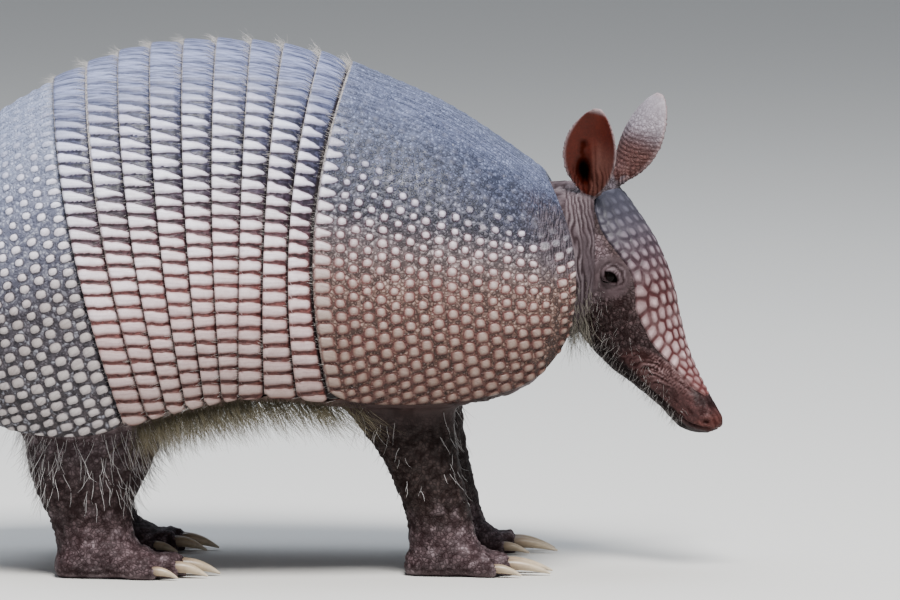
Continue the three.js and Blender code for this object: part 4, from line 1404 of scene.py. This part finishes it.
def shield_seeds():
    """Middles of the head scutes: a border row, then staggered rows inside it."""
    seeds = []
    along = np.linspace(SHIELD_BORDER[0, 0], SHIELD_BORDER[-1, 0], 400)
    w = border_turn(along) * head_w(along)
    run = np.concatenate([[0], np.cumsum(np.hypot(np.diff(along), np.diff(w)))])
    for side in (-1, 1):
        places = [1.5]
        while places[-1] < run[-1] - 3:
            x = np.interp(places[-1], run, along)
            gap = np.interp(x, [0, 30, 48, 80, 100], [4.4, 4.6, 6.6, 5.2, 3.2])
            places.append(places[-1] + gap * (0.92 + 0.16 * rng.random()))
        for place in places:
            x = np.interp(place, run, along)
            size = np.interp(x, [0, 30, 50, 80, 100], [2.0, 2.2, 3.0, 2.4, 1.5])
            seeds.append((x, side * (np.interp(place, run, w) - size), size))
    row, x = 0, 4.0
    while x < 99:
        pitch = np.interp(x, [0, 20, 60, 98], [5.6, 5.8, 5.8, 3.8])
        inset = np.interp(x, [0, 30, 50, 80, 100], [5.4, 5.6, 7.4, 6.0, 3.6])
        for k in range(-6, 7):
            y = (k + 0.5 * (row % 2)) * (pitch * 0.84)
            if abs(y) < border_turn(x) * head_w(x) - inset:
                seeds.append((x + 0.9 * (rng.random() - 0.5), y + 0.8 * (rng.random() - 0.5),
                              pitch * 0.42))
        row += 1
        x += pitch * 0.90
    return seeds


def build_head_shield():
    step = 0.42
    line = np.arange(SHIELD_BORDER[0, 0], SHIELD_BORDER[-1, 0], step)
    along, share = np.meshgrid(line, np.linspace(-1, 1, int(42 / step) + 1), indexing="ij")
    border, wide = border_turn(along), head_w(along)
    around = share * border
    w = around * wide
    first = np.full(w.shape, 99.0)
    second, cell = first.copy(), np.zeros(w.shape)
    warp = 0.5 * noise3(np.stack([along, w, 0 * w], -1), 3.0, 31)
    for i, (x, y, size) in enumerate(shield_seeds()):
        d = np.hypot((along - x) * 0.92, w - y + warp * 0.5) - 0.55 * size
        nearer = d < first
        second = np.where(nearer, first, np.minimum(second, d))
        cell = np.where(nearer, hash_unit(i, 3), cell)
        first = np.where(nearer, d, first)
    gap = (second - first) / 2
    rim = np.minimum((1 - np.abs(share)) * np.abs(border) * wide,
                     np.minimum(along - line[0], line[-1] - along))
    relief = 0.42 * smooth(np.minimum(gap, rim * 0.9), 0.0, 1.1) + 0.14 * smooth(gap, 0.3, 2.2)
    relief = relief * lerp(0.45, 1.0, smooth(along, 12, 34))
    fade = smooth(rim, 0, 1.4)
    lift = -0.3 + SHIELD_TOP * fade * 0.9 + relief * fade - 0.25
    points, faces, caps = loft(np.concatenate([
        head_point(along, around, lift),
        head_point(along, around, -0.55 - 0.2 * fade)[:, ::-1]], 1))

    def both(outer, inner):
        return np.concatenate([outer, np.full(outer.shape, inner)], 1)

    piece = mesh_object("head_scutes", points, faces, head_shield_material(), {
        "scute": both(gap, 0.0), "cell": both(cell, 0.5),
        "along": np.concatenate([along, along[:, ::-1]], 1) / 100}, caps)
    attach(piece, "root")
    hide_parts("head_shield")


def head_shield_material():
    n = Shader("head_scutes")
    scute, cell, along = n.attributes("scute", "cell", "along")
    fine, mottle = n.noise(1300.0, 4.0), n.noise(170.0)
    light = n.ramp(along, (0.0, 0.070, 0.074, 0.098), (0.16, 0.135, 0.128, 0.165),
                   (0.32, 0.34, 0.27, 0.31), (0.50, 0.43, 0.31, 0.315), (0.8, 0.62, 0.455, 0.46),
                   (1.0, 0.32, 0.16, 0.15))
    dark = n.ramp(along, (0.0, 0.034, 0.036, 0.052), (0.25, 0.034, 0.027, 0.036),
                  (0.5, 0.040, 0.010, 0.011), (1.0, 0.070, 0.016, 0.015))
    ring = n.mix(0.62, light, dark)
    scute = n.math("SUBTRACT", scute, n.span(along, 0.12, 0.85, 0.85, 0.15))
    light = n.mix(n.span(cell, 0.0, 1.0, 0.0, 0.75), light, ring)
    colour = n.mix(n.span(scute, 0.0, 0.9), dark, ring)
    colour = n.mix(n.span(scute, 0.7, 2.2), colour, light)
    colour = n.mix(n.span(mottle, 0.4, 0.75, 0.0, 0.35), colour, ring)
    colour = n.mix(n.span(fine, 0.3, 0.7, 0.22, 0.0), colour, dark)
    return n.finish(colour, n.span(mottle, 0.3, 0.7, 0.42, 0.58), n.bump(fine, 0.00012, 0.5), 0.22)


build_head_shield()


# ---------------------------------------------------------------- tail
TAIL_BASE, TAIL_LENGTH, TAIL_RINGS = (-162, 0, 99), 305, 12
TAIL_LANDING = 0.64      # share of the length at which the tail reaches the floor
RINGED_TAIL = 0.6        # share of the length that has full rings
SPLIT = 0.42             # share of a ring taken by its first row of scutes
TIP_START = 0.97
SMALL_ROW = 4.6          # length of a row behind the rings


def tail_radius(s):
    return lerp(19, 2.6, np.clip(s, 0, 1) ** 0.8)


def tail_centres(steps):
    s = np.linspace(0, 1, steps + 1)
    rest = tail_radius(np.maximum(s, TAIL_LANDING)) - 0.3
    drop = np.clip(1 - s / TAIL_LANDING, 0, 1) ** 1.5
    z = rest + (TAIL_BASE[2] - tail_radius(TAIL_LANDING)) * drop
    y = 34 * s ** 2.4
    step = TAIL_LENGTH / steps
    x = TAIL_BASE[0] - np.concatenate([[0], np.cumsum(
        np.sqrt(step ** 2 - np.diff(z) ** 2 - np.diff(y) ** 2))])
    return s, np.stack([x, y, z], -1)


def build_tail():
    rows, sides = ((560, 128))
    line, centres = tail_centres(300)

    def centre_at(s):
        return np.stack([np.interp(s, line, centres[:, i]) for i in range(3)], -1)

    s = np.concatenate([np.linspace(-0.02, TIP_START, rows), TIP_START + 0.024 * np.sin(
        np.linspace(0.15, math.pi / 2, 10))])
    centre = centre_at(s)
    back = s < 0
    centre[back] += (s[back] * TAIL_LENGTH)[:, None] * unit(centres[3] - centres[0])
    ahead, behind = (centre_at(np.clip(s + d, 0, 1)) for d in (0.012, -0.012))
    way = unit(ahead - behind)
    level = unit(np.cross([0, 0, 1], way))
    up = np.cross(way, level)
    b = ring_angles(sides)
    ring = s * TAIL_RINGS / RINGED_TAIL
    number = np.floor(ring)
    p = ring - number
    ringed = smooth(s, RINGED_TAIL + 0.05, RINGED_TAIL - 0.01)
    radius = tail_radius(s)
    grow = lerp(0.985, 1.035, p) * ringed + (1 - ringed) * 0.995
    grow = np.where(back, 0.95, grow)
    tip = np.sqrt(np.clip(1 - ((s - TIP_START) / 0.0243) ** 2, 0.01, 1))
    grow = np.where(s > TIP_START, tip, grow)
    # lattice: two rows on each ring, then small staggered rows to the tip
    on_rings, second = s < RINGED_TAIL, p > SPLIT
    small_row = (s - RINGED_TAIL) * TAIL_LENGTH / SMALL_ROW
    row_number = np.where(on_rings, number * 2 + second, 200 + np.floor(small_row))
    row_share = np.where(on_rings, np.where(second, (p - SPLIT) / (1 - SPLIT), p / SPLIT),
                         small_row - np.floor(small_row))
    row_length = np.where(on_rings, TAIL_LENGTH * RINGED_TAIL / TAIL_RINGS
                          * np.where(second, 1 - SPLIT, SPLIT), SMALL_ROW)
    ring_start = np.where(on_rings, number * RINGED_TAIL / TAIL_RINGS, s)
    count = np.where(on_rings,
                     np.maximum(6, np.round(2 * math.pi * tail_radius(ring_start) / 5.2)),
                     np.maximum(7, np.round(2 * math.pi * radius / 3.6)))
    shift = np.mod(row_number, 2) * 0.5
    turn = b[None, :] / (2 * math.pi) * count[:, None] + shift[:, None]
    y = turn - np.floor(turn)
    random = hash_unit(np.floor(turn), row_number[:, None] + 0 * turn, np.full(turn.shape, 8))
    narrow = 0.6 * lerp(0.10, 0.32, smooth(row_share, 0.62, 1.0))[:, None]
    across = np.minimum(y - 0.06 - narrow, 0.94 - narrow - y)
    across = across * (2 * math.pi * radius / count)[:, None]
    lengthwise = np.minimum(row_share + 0.02, 1.0 - row_share) * row_length
    field = np.minimum(across, lengthwise[:, None])
    relief = 0.38 * smooth(field, -0.1, 0.7) - 0.18
    relief = relief * smooth(s, -0.01, 0.0)[:, None] * smooth(s, 0.985, 0.95)[:, None]
    size = ((radius * grow)[:, None] + relief)[..., None]
    points = centre[:, None] + size * (level[:, None] * np.sin(b)[None, :, None]
                                       + up[:, None] * np.cos(b)[None, :, None])
    points[..., 2] = np.maximum(points[..., 2], 0)
    points, faces, caps = loft(points)
    shade = np.where(on_rings, p, 0.5)[:, None]
    values = {"scute": field, "cell": random, "shade": shade, "along": s[:, None],
              "belly": 0.5 - 0.5 * np.cos(b)[None, :]}
    piece = mesh_object("tail_scutes", points, faces, tail_material(), {
        key: np.broadcast_to(value, field.shape) for key, value in values.items()}, caps)
    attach(piece, "root")
    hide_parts(*[f"tail_ring_{k + 1}" for k in range(TAIL_RINGS)], "tail_tip")


def tail_material():
    n = Shader("tail_scutes")
    scute, cell, shade, belly, along = n.attributes("scute", "cell", "shade", "belly", "along")
    fine, mottle = n.noise(1200.0, 4.0), n.noise(120.0)
    light = n.ramp(along, (0.0, 0.36, 0.36, 0.41), (0.45, 0.30, 0.28, 0.30),
                   (0.8, 0.26, 0.21, 0.19), (1.0, 0.30, 0.22, 0.18))
    light = n.mix(n.span(belly, 0.35, 0.8), light, (0.44, 0.36, 0.32))
    light = n.mix(n.span(cell, 0.0, 1.0, 0.0, 0.4), light, (0.20, 0.165, 0.17))
    colour = n.mix(n.span(scute, -0.05, 0.6), (0.052, 0.036, 0.034), light)
    colour = n.mix(n.span(shade, 0.0, 0.3, 0.55, 0.0), colour, (0.10, 0.075, 0.072))
    colour = n.mix(n.span(mottle, 0.4, 0.8, 0.0, 0.4), colour, (0.17, 0.13, 0.125))
    return n.finish(colour, n.span(mottle, 0.3, 0.7, 0.45, 0.62), n.bump(fine, 0.00012, 0.5), 0.22)


build_tail()


# ---------------------------------------------------------------- strands: claws and hair
PATCH = 0.003            # size of a strand's patch on the unwrap
HAIR_SHARE = 1.0


def strand_tree(material, sides, flat):
    """Node tree that sweeps a tapered round along every line of a mesh of lines."""
    group = bpy.data.node_groups.new("strand", "GeometryNodeTree")
    values = {}
    for name, kind, value in (("Geometry", "Geometry", None), ("Thickness", "Float", 1.0),
                              ("Sides", "Int", sides), ("Patch size", "Float", PATCH)):
        socket = group.interface.new_socket(name, in_out="INPUT",
                                            socket_type=f"NodeSocket{kind}")
        if value is not None:
            values[socket.identifier] = value
    group.interface.new_socket("Geometry", in_out="OUTPUT", socket_type="NodeSocketGeometry")
    n = Tree(group)

    def attribute(name, kind):
        node = n.add("GeometryNodeInputNamedAttribute", {"Name": name}, data_type=kind)
        return node.outputs["Attribute"]

    def product(a, b):
        return n.add("ShaderNodeMath", {0: a, 1: b}, operation="MULTIPLY").outputs[0]

    given = n.add("NodeGroupInput").outputs
    lines = n.add("GeometryNodeMeshToCurve", {"Mesh": given["Geometry"]})
    circle = n.add("GeometryNodeCurvePrimitiveCircle",
                   {"Resolution": given["Sides"], "Radius": 1.0}, mode="RADIUS")
    oval = n.add("GeometryNodeTransform", {"Geometry": circle.outputs["Curve"],
                                           "Scale": (1.0, flat, 1.0)})
    profile = n.add("GeometryNodeCaptureAttribute", domain="POINT")
    profile.capture_items.new("FLOAT", "Turn")
    n.put(profile.inputs["Geometry"], oval.outputs["Geometry"])
    n.put(profile.inputs["Turn"], n.add("GeometryNodeSplineParameter").outputs["Factor"])
    sweep = n.add("GeometryNodeCurveToMesh", {
        "Curve": lines.outputs["Curve"], "Profile Curve": profile.outputs["Geometry"],
        "Scale": product(attribute("girth", "FLOAT"), given["Thickness"]), "Fill Caps": True})
    # every strand takes a patch of the unwrap, as long and as wide as the patch size
    across = n.add("ShaderNodeCombineXYZ", {
        "Y": product(profile.outputs["Turn"], given["Patch size"])})
    place = n.add("ShaderNodeVectorMath", {0: attribute("patch", "FLOAT_VECTOR"),
                                           1: across.outputs[0]}, operation="ADD")
    store_uv = n.add("GeometryNodeStoreNamedAttribute", {
        "Geometry": sweep.outputs["Mesh"], "Name": "OFBake", "Value": place.outputs[0]},
        data_type="FLOAT2", domain="CORNER")
    shaded = n.add("GeometryNodeSetShadeSmooth", {"Geometry": store_uv.outputs["Geometry"]})
    real = n.add("GeometryNodeRealizeInstances", {"Geometry": shaded.outputs["Geometry"]})
    look = n.add("GeometryNodeSetMaterial", {"Geometry": real.outputs["Geometry"],
                                             "Material": material})
    n.add("NodeGroupOutput", {"Geometry": look.outputs["Geometry"]})
    return group, values


def strands(name, lines, radii, roots, material, sides=3, flat=1.0, shade=0.0):
    """Solid tapered strands along lines (count, points, 3) in mm; roots are places to unwrap to."""
    count, steps = lines.shape[:2]
    mesh = bpy.data.meshes.new(name)
    mesh.vertices.add(count * steps)
    mesh.vertices.foreach_set("co", to_world(lines))
    index = np.arange(count * steps).reshape(count, steps)
    edges = np.stack([index[:, :-1], index[:, 1:]], -1).reshape(-1, 2)
    mesh.edges.add(len(edges))
    mesh.edges.foreach_set("vertices", edges.astype(np.int32).ravel())
    patch = np.zeros((count, steps, 3))
    patch[..., 0] = roots[:, None, 0] + np.linspace(0, PATCH, steps)
    patch[..., 1] = roots[:, None, 1]
    store(mesh, "girth", radii * MM)
    store(mesh, "patch", patch, "FLOAT_VECTOR", "vector")
    store(mesh, "shade", np.repeat(np.broadcast_to(shade, count), steps))
    store(mesh, "tip", np.tile(np.linspace(0, 1, steps), count))
    piece = linked(name, mesh)
    sweep = piece.modifiers.new("sweep", "NODES")
    sweep.node_group, values = strand_tree(material, sides, flat)
    for key, value in values.items():
        sweep[key] = value
    solid = bpy.data.meshes.new_from_object(
        piece.evaluated_get(bpy.context.evaluated_depsgraph_get()))
    solid.name = name
    piece.modifiers.clear()
    piece.data = solid
    bpy.data.meshes.remove(mesh)
    return piece


def build_claws():
    n = Shader("claw")
    streak = n.noise(260.0, 4.0)
    colour = n.ramp(*n.attributes("tip"), (0.0, 0.11, 0.075, 0.055), (0.22, 0.30, 0.22, 0.145),
                    (0.6, 0.47, 0.37, 0.25), (1.0, 0.56, 0.47, 0.35))
    colour = n.mix(n.span(streak, 0.4, 0.75, 0.0, 0.45), colour, (0.16, 0.115, 0.08))
    material = n.finish(colour, 0.38, n.bump(streak, 0.0003, 0.5), 0.5)
    share = np.linspace(-0.22, 1, 14)
    bare = np.clip(share, 0, 1)
    for leg in LIMBS:
        for i, (across, start, stop, spread, radius, length) in enumerate(leg.toes):
            angle = leg.side * math.radians(spread)
            way = np.array([math.cos(angle), math.sin(angle), 0])
            root = (np.array([leg.x + start, leg.y + leg.side * across, 0])
                    + way * (stop - start + 0.35))
            line = root + way * (length * share)[:, None]
            line[:, 2] = radius * 1.05 - (radius * 1.05 - 1) * bare ** 1.8
            size = radius * 0.62 * (1 - 0.86 * bare ** 1.6)
            piece = strands(f"horn_{leg.end}_{leg.name}_{i + 1}", line[None], size[None],
                            np.array([[0.5, 0.5]]), material, 16, 0.9)
            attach(piece, "root")
            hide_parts(f"claw_{leg.end}_{leg.name}_{i + 1}")


def hair_material(name, root, tip):
    n = Shader(name)
    along, shade = n.attributes("tip", "shade")
    colour = n.mix(n.times(shade, 0.55), n.mix(along, root, tip), tuple(c * 0.45 for c in root))
    return n.finish(colour, 0.5, specular=0.35)


def hair_lines(roots, aim, bend, length, steps=6, wave=0.0):
    """Curved lines from roots: aim and bend are directions, length is in mm."""
    t = np.linspace(0, 1, steps)[None, :, None]
    lines = (roots[:, None] + aim[:, None] * length[:, None, None] * t
             + bend[:, None] * length[:, None, None] * t ** 2)
    if wave:
        side = unit(np.cross(aim, rng.normal(size=aim.shape)))
        phase = rng.random(len(roots))[:, None, None] * 6.28
        lines += side[:, None] * wave * np.sin(t * 5 + phase) * t
    return lines


def add_hair(name, lines, radius, roots, material):
    lines[..., 2] = np.maximum(lines[..., 2], 0.2)
    t = np.linspace(0, 1, lines.shape[1])
    piece = strands(name, lines, radius[:, None] * (1 - 0.85 * t ** 1.5), roots, material,
                    shade=rng.random(len(lines)))
    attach(piece, "root")


def scatter(shape, amount):
    return amount * rng.normal(size=shape)


def downwards(forward, aside):
    """Directions that point down, with these shares forward and aside."""
    return np.stack([forward, aside, np.full(len(forward), -1.0)], -1)


def unwrap(u, v):
    return 0.02 + 0.95 * np.clip(np.stack([u, v], -1), 0, 1)


def body_unwrap(points):
    """Places on an unwrap of the trunk: length along it, and angle round it."""
    around = np.arctan2(points[:, 1], points[:, 2] - 120)
    return unwrap((points[:, 0] + 190) / 330, around / (2 * math.pi) + 0.5)


def build_fringes():
    """Pale hair that shows from under the rear edge of each plate."""
    groups = []
    for k in range(SHOULDER_END, SHOULDER_END + BANDS + 1):
        count = int(560 * HAIR_SHARE)
        a = SHELL_WRAP * (2 * rng.random(count) - 1)
        v = k + 0.04 * rng.random(count)
        root = shell_point(v - 0.1, a, np.full(count, -0.5))
        back = unit(shell_point(v + 0.25, a, np.full(count, 1.0)) - root)
        out = unit(shell_point(v, a, np.full(count, 3.0)) - shell_point(v, a, 0 * a))
        ridge = smooth(np.abs(a), 0.9, 0.1)
        length = (3.2 + 2.6 * rng.random(count)) * (1 + 0.9 * ridge * rng.random(count))
        aim = unit(back + out * (0.10 + 0.55 * ridge * rng.random(count))[:, None]
                   + scatter(root.shape, 0.22))
        groups.append(hair_lines(root, aim, -0.1 * out + scatter(root.shape, 0.1), length, 5))
    lines = np.concatenate(groups)
    add_hair("hair_bands", lines, 0.045 + 0.03 * rng.random(len(lines)),
             body_unwrap(lines[:, 0]),
             hair_material("fringe", (0.42, 0.38, 0.34), (0.72, 0.69, 0.66)))


def build_belly_hair():
    count = int(5200 * HAIR_SHARE)
    side = np.where(rng.random(count) < 0.6, -1, 1)
    v = 3.3 + (REAR_END - 5.6) * rng.random(count)
    edge = shell_curve(v, side * SHELL_WRAP)
    inward = rng.random(count) ** 1.4
    b = math.pi / 2 * inward
    root = np.stack([edge[:, 0], edge[:, 1] * np.cos(b) * 0.97,
                     edge[:, 2] - 5 * np.sin(b) ** 0.8 + 0.5], -1)
    forward = smooth(root[:, 0], -80, 40)
    aim = unit(downwards(0.25 + 0.35 * forward + scatter(count, 0.3),
                         side * 0.12 * (1 - inward) + scatter(count, 0.2)))
    bend = np.stack([0.25 * forward + scatter(count, 0.12), scatter(count, 0.08),
                     0.12 * rng.random(count)], -1)
    length = 9 + 12 * rng.random(count)
    between_legs = (root[:, 0] > -70) & (root[:, 0] < 27)
    lines = hair_lines(root, aim, bend, length, 6, 0.5)[between_legs]
    add_hair("hair_belly", lines, 0.06 + 0.035 * rng.random(len(lines)),
             body_unwrap(lines[:, 0]),
             hair_material("belly_hair", (0.072, 0.058, 0.032), (0.20, 0.17, 0.10)))


def build_leg_hair():
    """Bristles, thickest on the front and back of the hind legs."""
    groups, widths = [], []
    for leg in LIMBS:
        number, crowding, in_front, spread, reach = (
            (1100, 0.7, 0.62, 0.75, 1.0) if leg.end == "hind" else (160, 0.9, 0.4, 0.8, 0.6))
        count = int(number * HAIR_SHARE)
        z = 30 + 64 * rng.random(count) ** crowding
        place = np.interp(-z, -leg.table[:, 0], np.arange(len(leg.table)))
        _, x, y, long, wide = table_at(leg.table, place).T
        b = np.where(rng.random(count) < in_front, 0.0, math.pi) + scatter(count, spread)
        root = np.stack([x + leg.shift + (long - 0.4) * np.cos(b),
                         leg.side * y + (wide - 0.4) * np.sin(b), z], -1)
        out = unit(np.stack([np.cos(b) / long, np.sin(b) / wide, 0 * b], -1))
        aim = unit(0.28 * out + downwards(0.10 + scatter(count, 0.22), scatter(count, 0.18)))
        length = (8 + 18 * rng.random(count) * smooth(z, 42, 82)) * reach
        bend = 0.12 * out + scatter(root.shape, 0.14)
        groups.append(hair_lines(root, aim, bend, length, 6, 0.6))
        widths.append(0.07 + 0.07 * rng.random(count))
    lines = np.concatenate(groups)
    add_hair("hair_legs", lines, np.concatenate(widths),
             unwrap((lines[:, 0, 0] + 130) / 220, lines[:, 0, 2] / 100),
             hair_material("bristle", (0.42, 0.39, 0.38), (0.88, 0.86, 0.85)))


def build_neck_hair():
    """Long pale tufts under the throat, and bristles round the tail's root."""
    count = int(420 * HAIR_SHARE)
    x = 113 + 9.5 * rng.random(count)
    columns = np.transpose(NECK)
    y, z, high, wide = (np.interp(x, columns[0], column) for column in columns[1:])
    b = math.pi + 1.25 * (2 * rng.random(count) - 1)
    root = np.stack([x, y + wide * np.sin(b), z + high * np.cos(b)], -1)
    out = unit(np.stack([0 * b, np.sin(b), np.cos(b)], -1))
    aim = unit(0.25 * out + downwards(0.12 + scatter(count, 0.25), scatter(count, 0.2)))
    low = smooth(np.cos(b), -0.35, -0.9)
    groups = [hair_lines(root - out * 0.4, aim, scatter(root.shape, 0.15),
                         3 + 13 * low * rng.random(count), 6, 0.6)]
    count = int(700 * HAIR_SHARE)
    b = 2 * math.pi * rng.random(count)
    t = 0.75 + 0.75 * rng.random(count)
    out = unit(np.stack([-np.cos(t), np.sin(t) * np.sin(b), np.sin(t) * np.cos(b)], -1))
    aim = unit(0.5 * out + np.array([-0.5, 0, -0.6]) + scatter(out.shape, 0.2))
    groups.append(hair_lines(np.array(RUMP[0]) + out * RUMP[1] - out * 0.4, aim,
                             scatter(out.shape, 0.15), 4 + 7 * rng.random(count), 6, 0.4))
    lines = np.concatenate(groups)
    add_hair("hair_tufts", lines, 0.06 + 0.05 * rng.random(len(lines)),
             body_unwrap(lines[:, 0]),
             hair_material("tuft", (0.10, 0.085, 0.065), (0.40, 0.37, 0.30)))


def build_face_hair():
    """Thin hairs of the throat, cheeks, chin and ear roots."""
    count = int(1500 * HAIR_SHARE)
    along = 6 + 98 * rng.random(count)
    side = np.where(rng.random(count) < 0.5, -1, 1)
    turn = np.radians(78 + 100 * rng.random(count) ** 0.8)
    root = head_point(along, side * turn, -0.2)
    middle = table_at(HEAD_STATIONS, head_row(along))[:, 1]
    out = unit(root - head_place(along, middle, 0 * along))
    throat = smooth(along, 50, 14) * smooth(np.degrees(turn), 105, 150)
    length = 2.2 + 2.6 * rng.random(count) + 11 * throat * rng.random(count)
    aim = unit(0.65 * out + HEAD_AXES[0] * 0.5 + scatter(root.shape, 0.22)
               + throat[:, None] * np.array([0.1, 0, -1.1]))
    bend = scatter(root.shape, 0.15) + np.array([0, 0, -0.1])
    places = np.stack([0.02 + 0.95 * along / 110, 0.5 + 0.45 * side * turn / math.pi], -1)
    add_hair("hair_face", hair_lines(root, aim, bend, length, 5),
             0.035 + 0.03 * rng.random(count), places,
             hair_material("face_hair", (0.20, 0.17, 0.16), (0.62, 0.60, 0.57)))


build_claws()
build_fringes()
build_belly_hair()
build_leg_hair()
build_neck_hair()
build_face_hair()


# ---------------------------------------------------------------- stage, light, camera
def build_stage():
    size = 6.0
    mesh = bpy.data.meshes.new("floor")
    mesh.from_pydata([(-size, -size, 0), (size, -size, 0), (size, size, 0), (-size, size, 0)],
                     [], [(0, 1, 2, 3)])
    mesh.materials.append(Shader("floor").finish((0.62, 0.61, 0.58), 0.8))
    floor = linked("floor", mesh)
    world = bpy.data.worlds.new("studio")
    bpy.context.scene.world = world
    world.use_nodes = True
    background = world.node_tree.nodes["Background"].inputs
    background["Color"].default_value = (0.80, 0.86, 0.96, 1)
    background["Strength"].default_value = 0.42


def area_light(name, place, aim, size, power, colour):
    light = bpy.data.lights.new(name, "AREA")
    light.size, light.energy, light.color = size, power, colour
    lamp = linked(name, light)
    lamp.location = place
    lamp.rotation_euler = (Vector(aim) - Vector(place)).to_track_quat("-Z", "Y").to_euler()


def build_camera():
    elevation = math.radians(5)
    distance, frame_width = 3.6, 0.378
    target = Vector((63.0, -45.0, 116.4)) + Vector(SHIFT)
    back = Vector((0, -math.cos(elevation), math.sin(elevation)))
    camera = bpy.data.cameras.new("camera")
    camera.sensor_width = 36
    camera.lens = camera.sensor_width * distance / frame_width
    camera.clip_end = 50
    eye = linked("camera", camera)
    eye.location = target * MM + back * distance
    eye.rotation_euler = (-back).to_track_quat("-Z", "Y").to_euler()
    bpy.context.scene.camera = eye


build_stage()
area_light("key", (0.40, -1.15, 2.05), (0, 0, 0.1), 0.9, 125, (1.0, 0.985, 0.97))
area_light("sky", (-0.5, 0.7, 2.1), (0, 0, 0.1), 1.8, 42, (0.80, 0.88, 1.0))
build_camera()
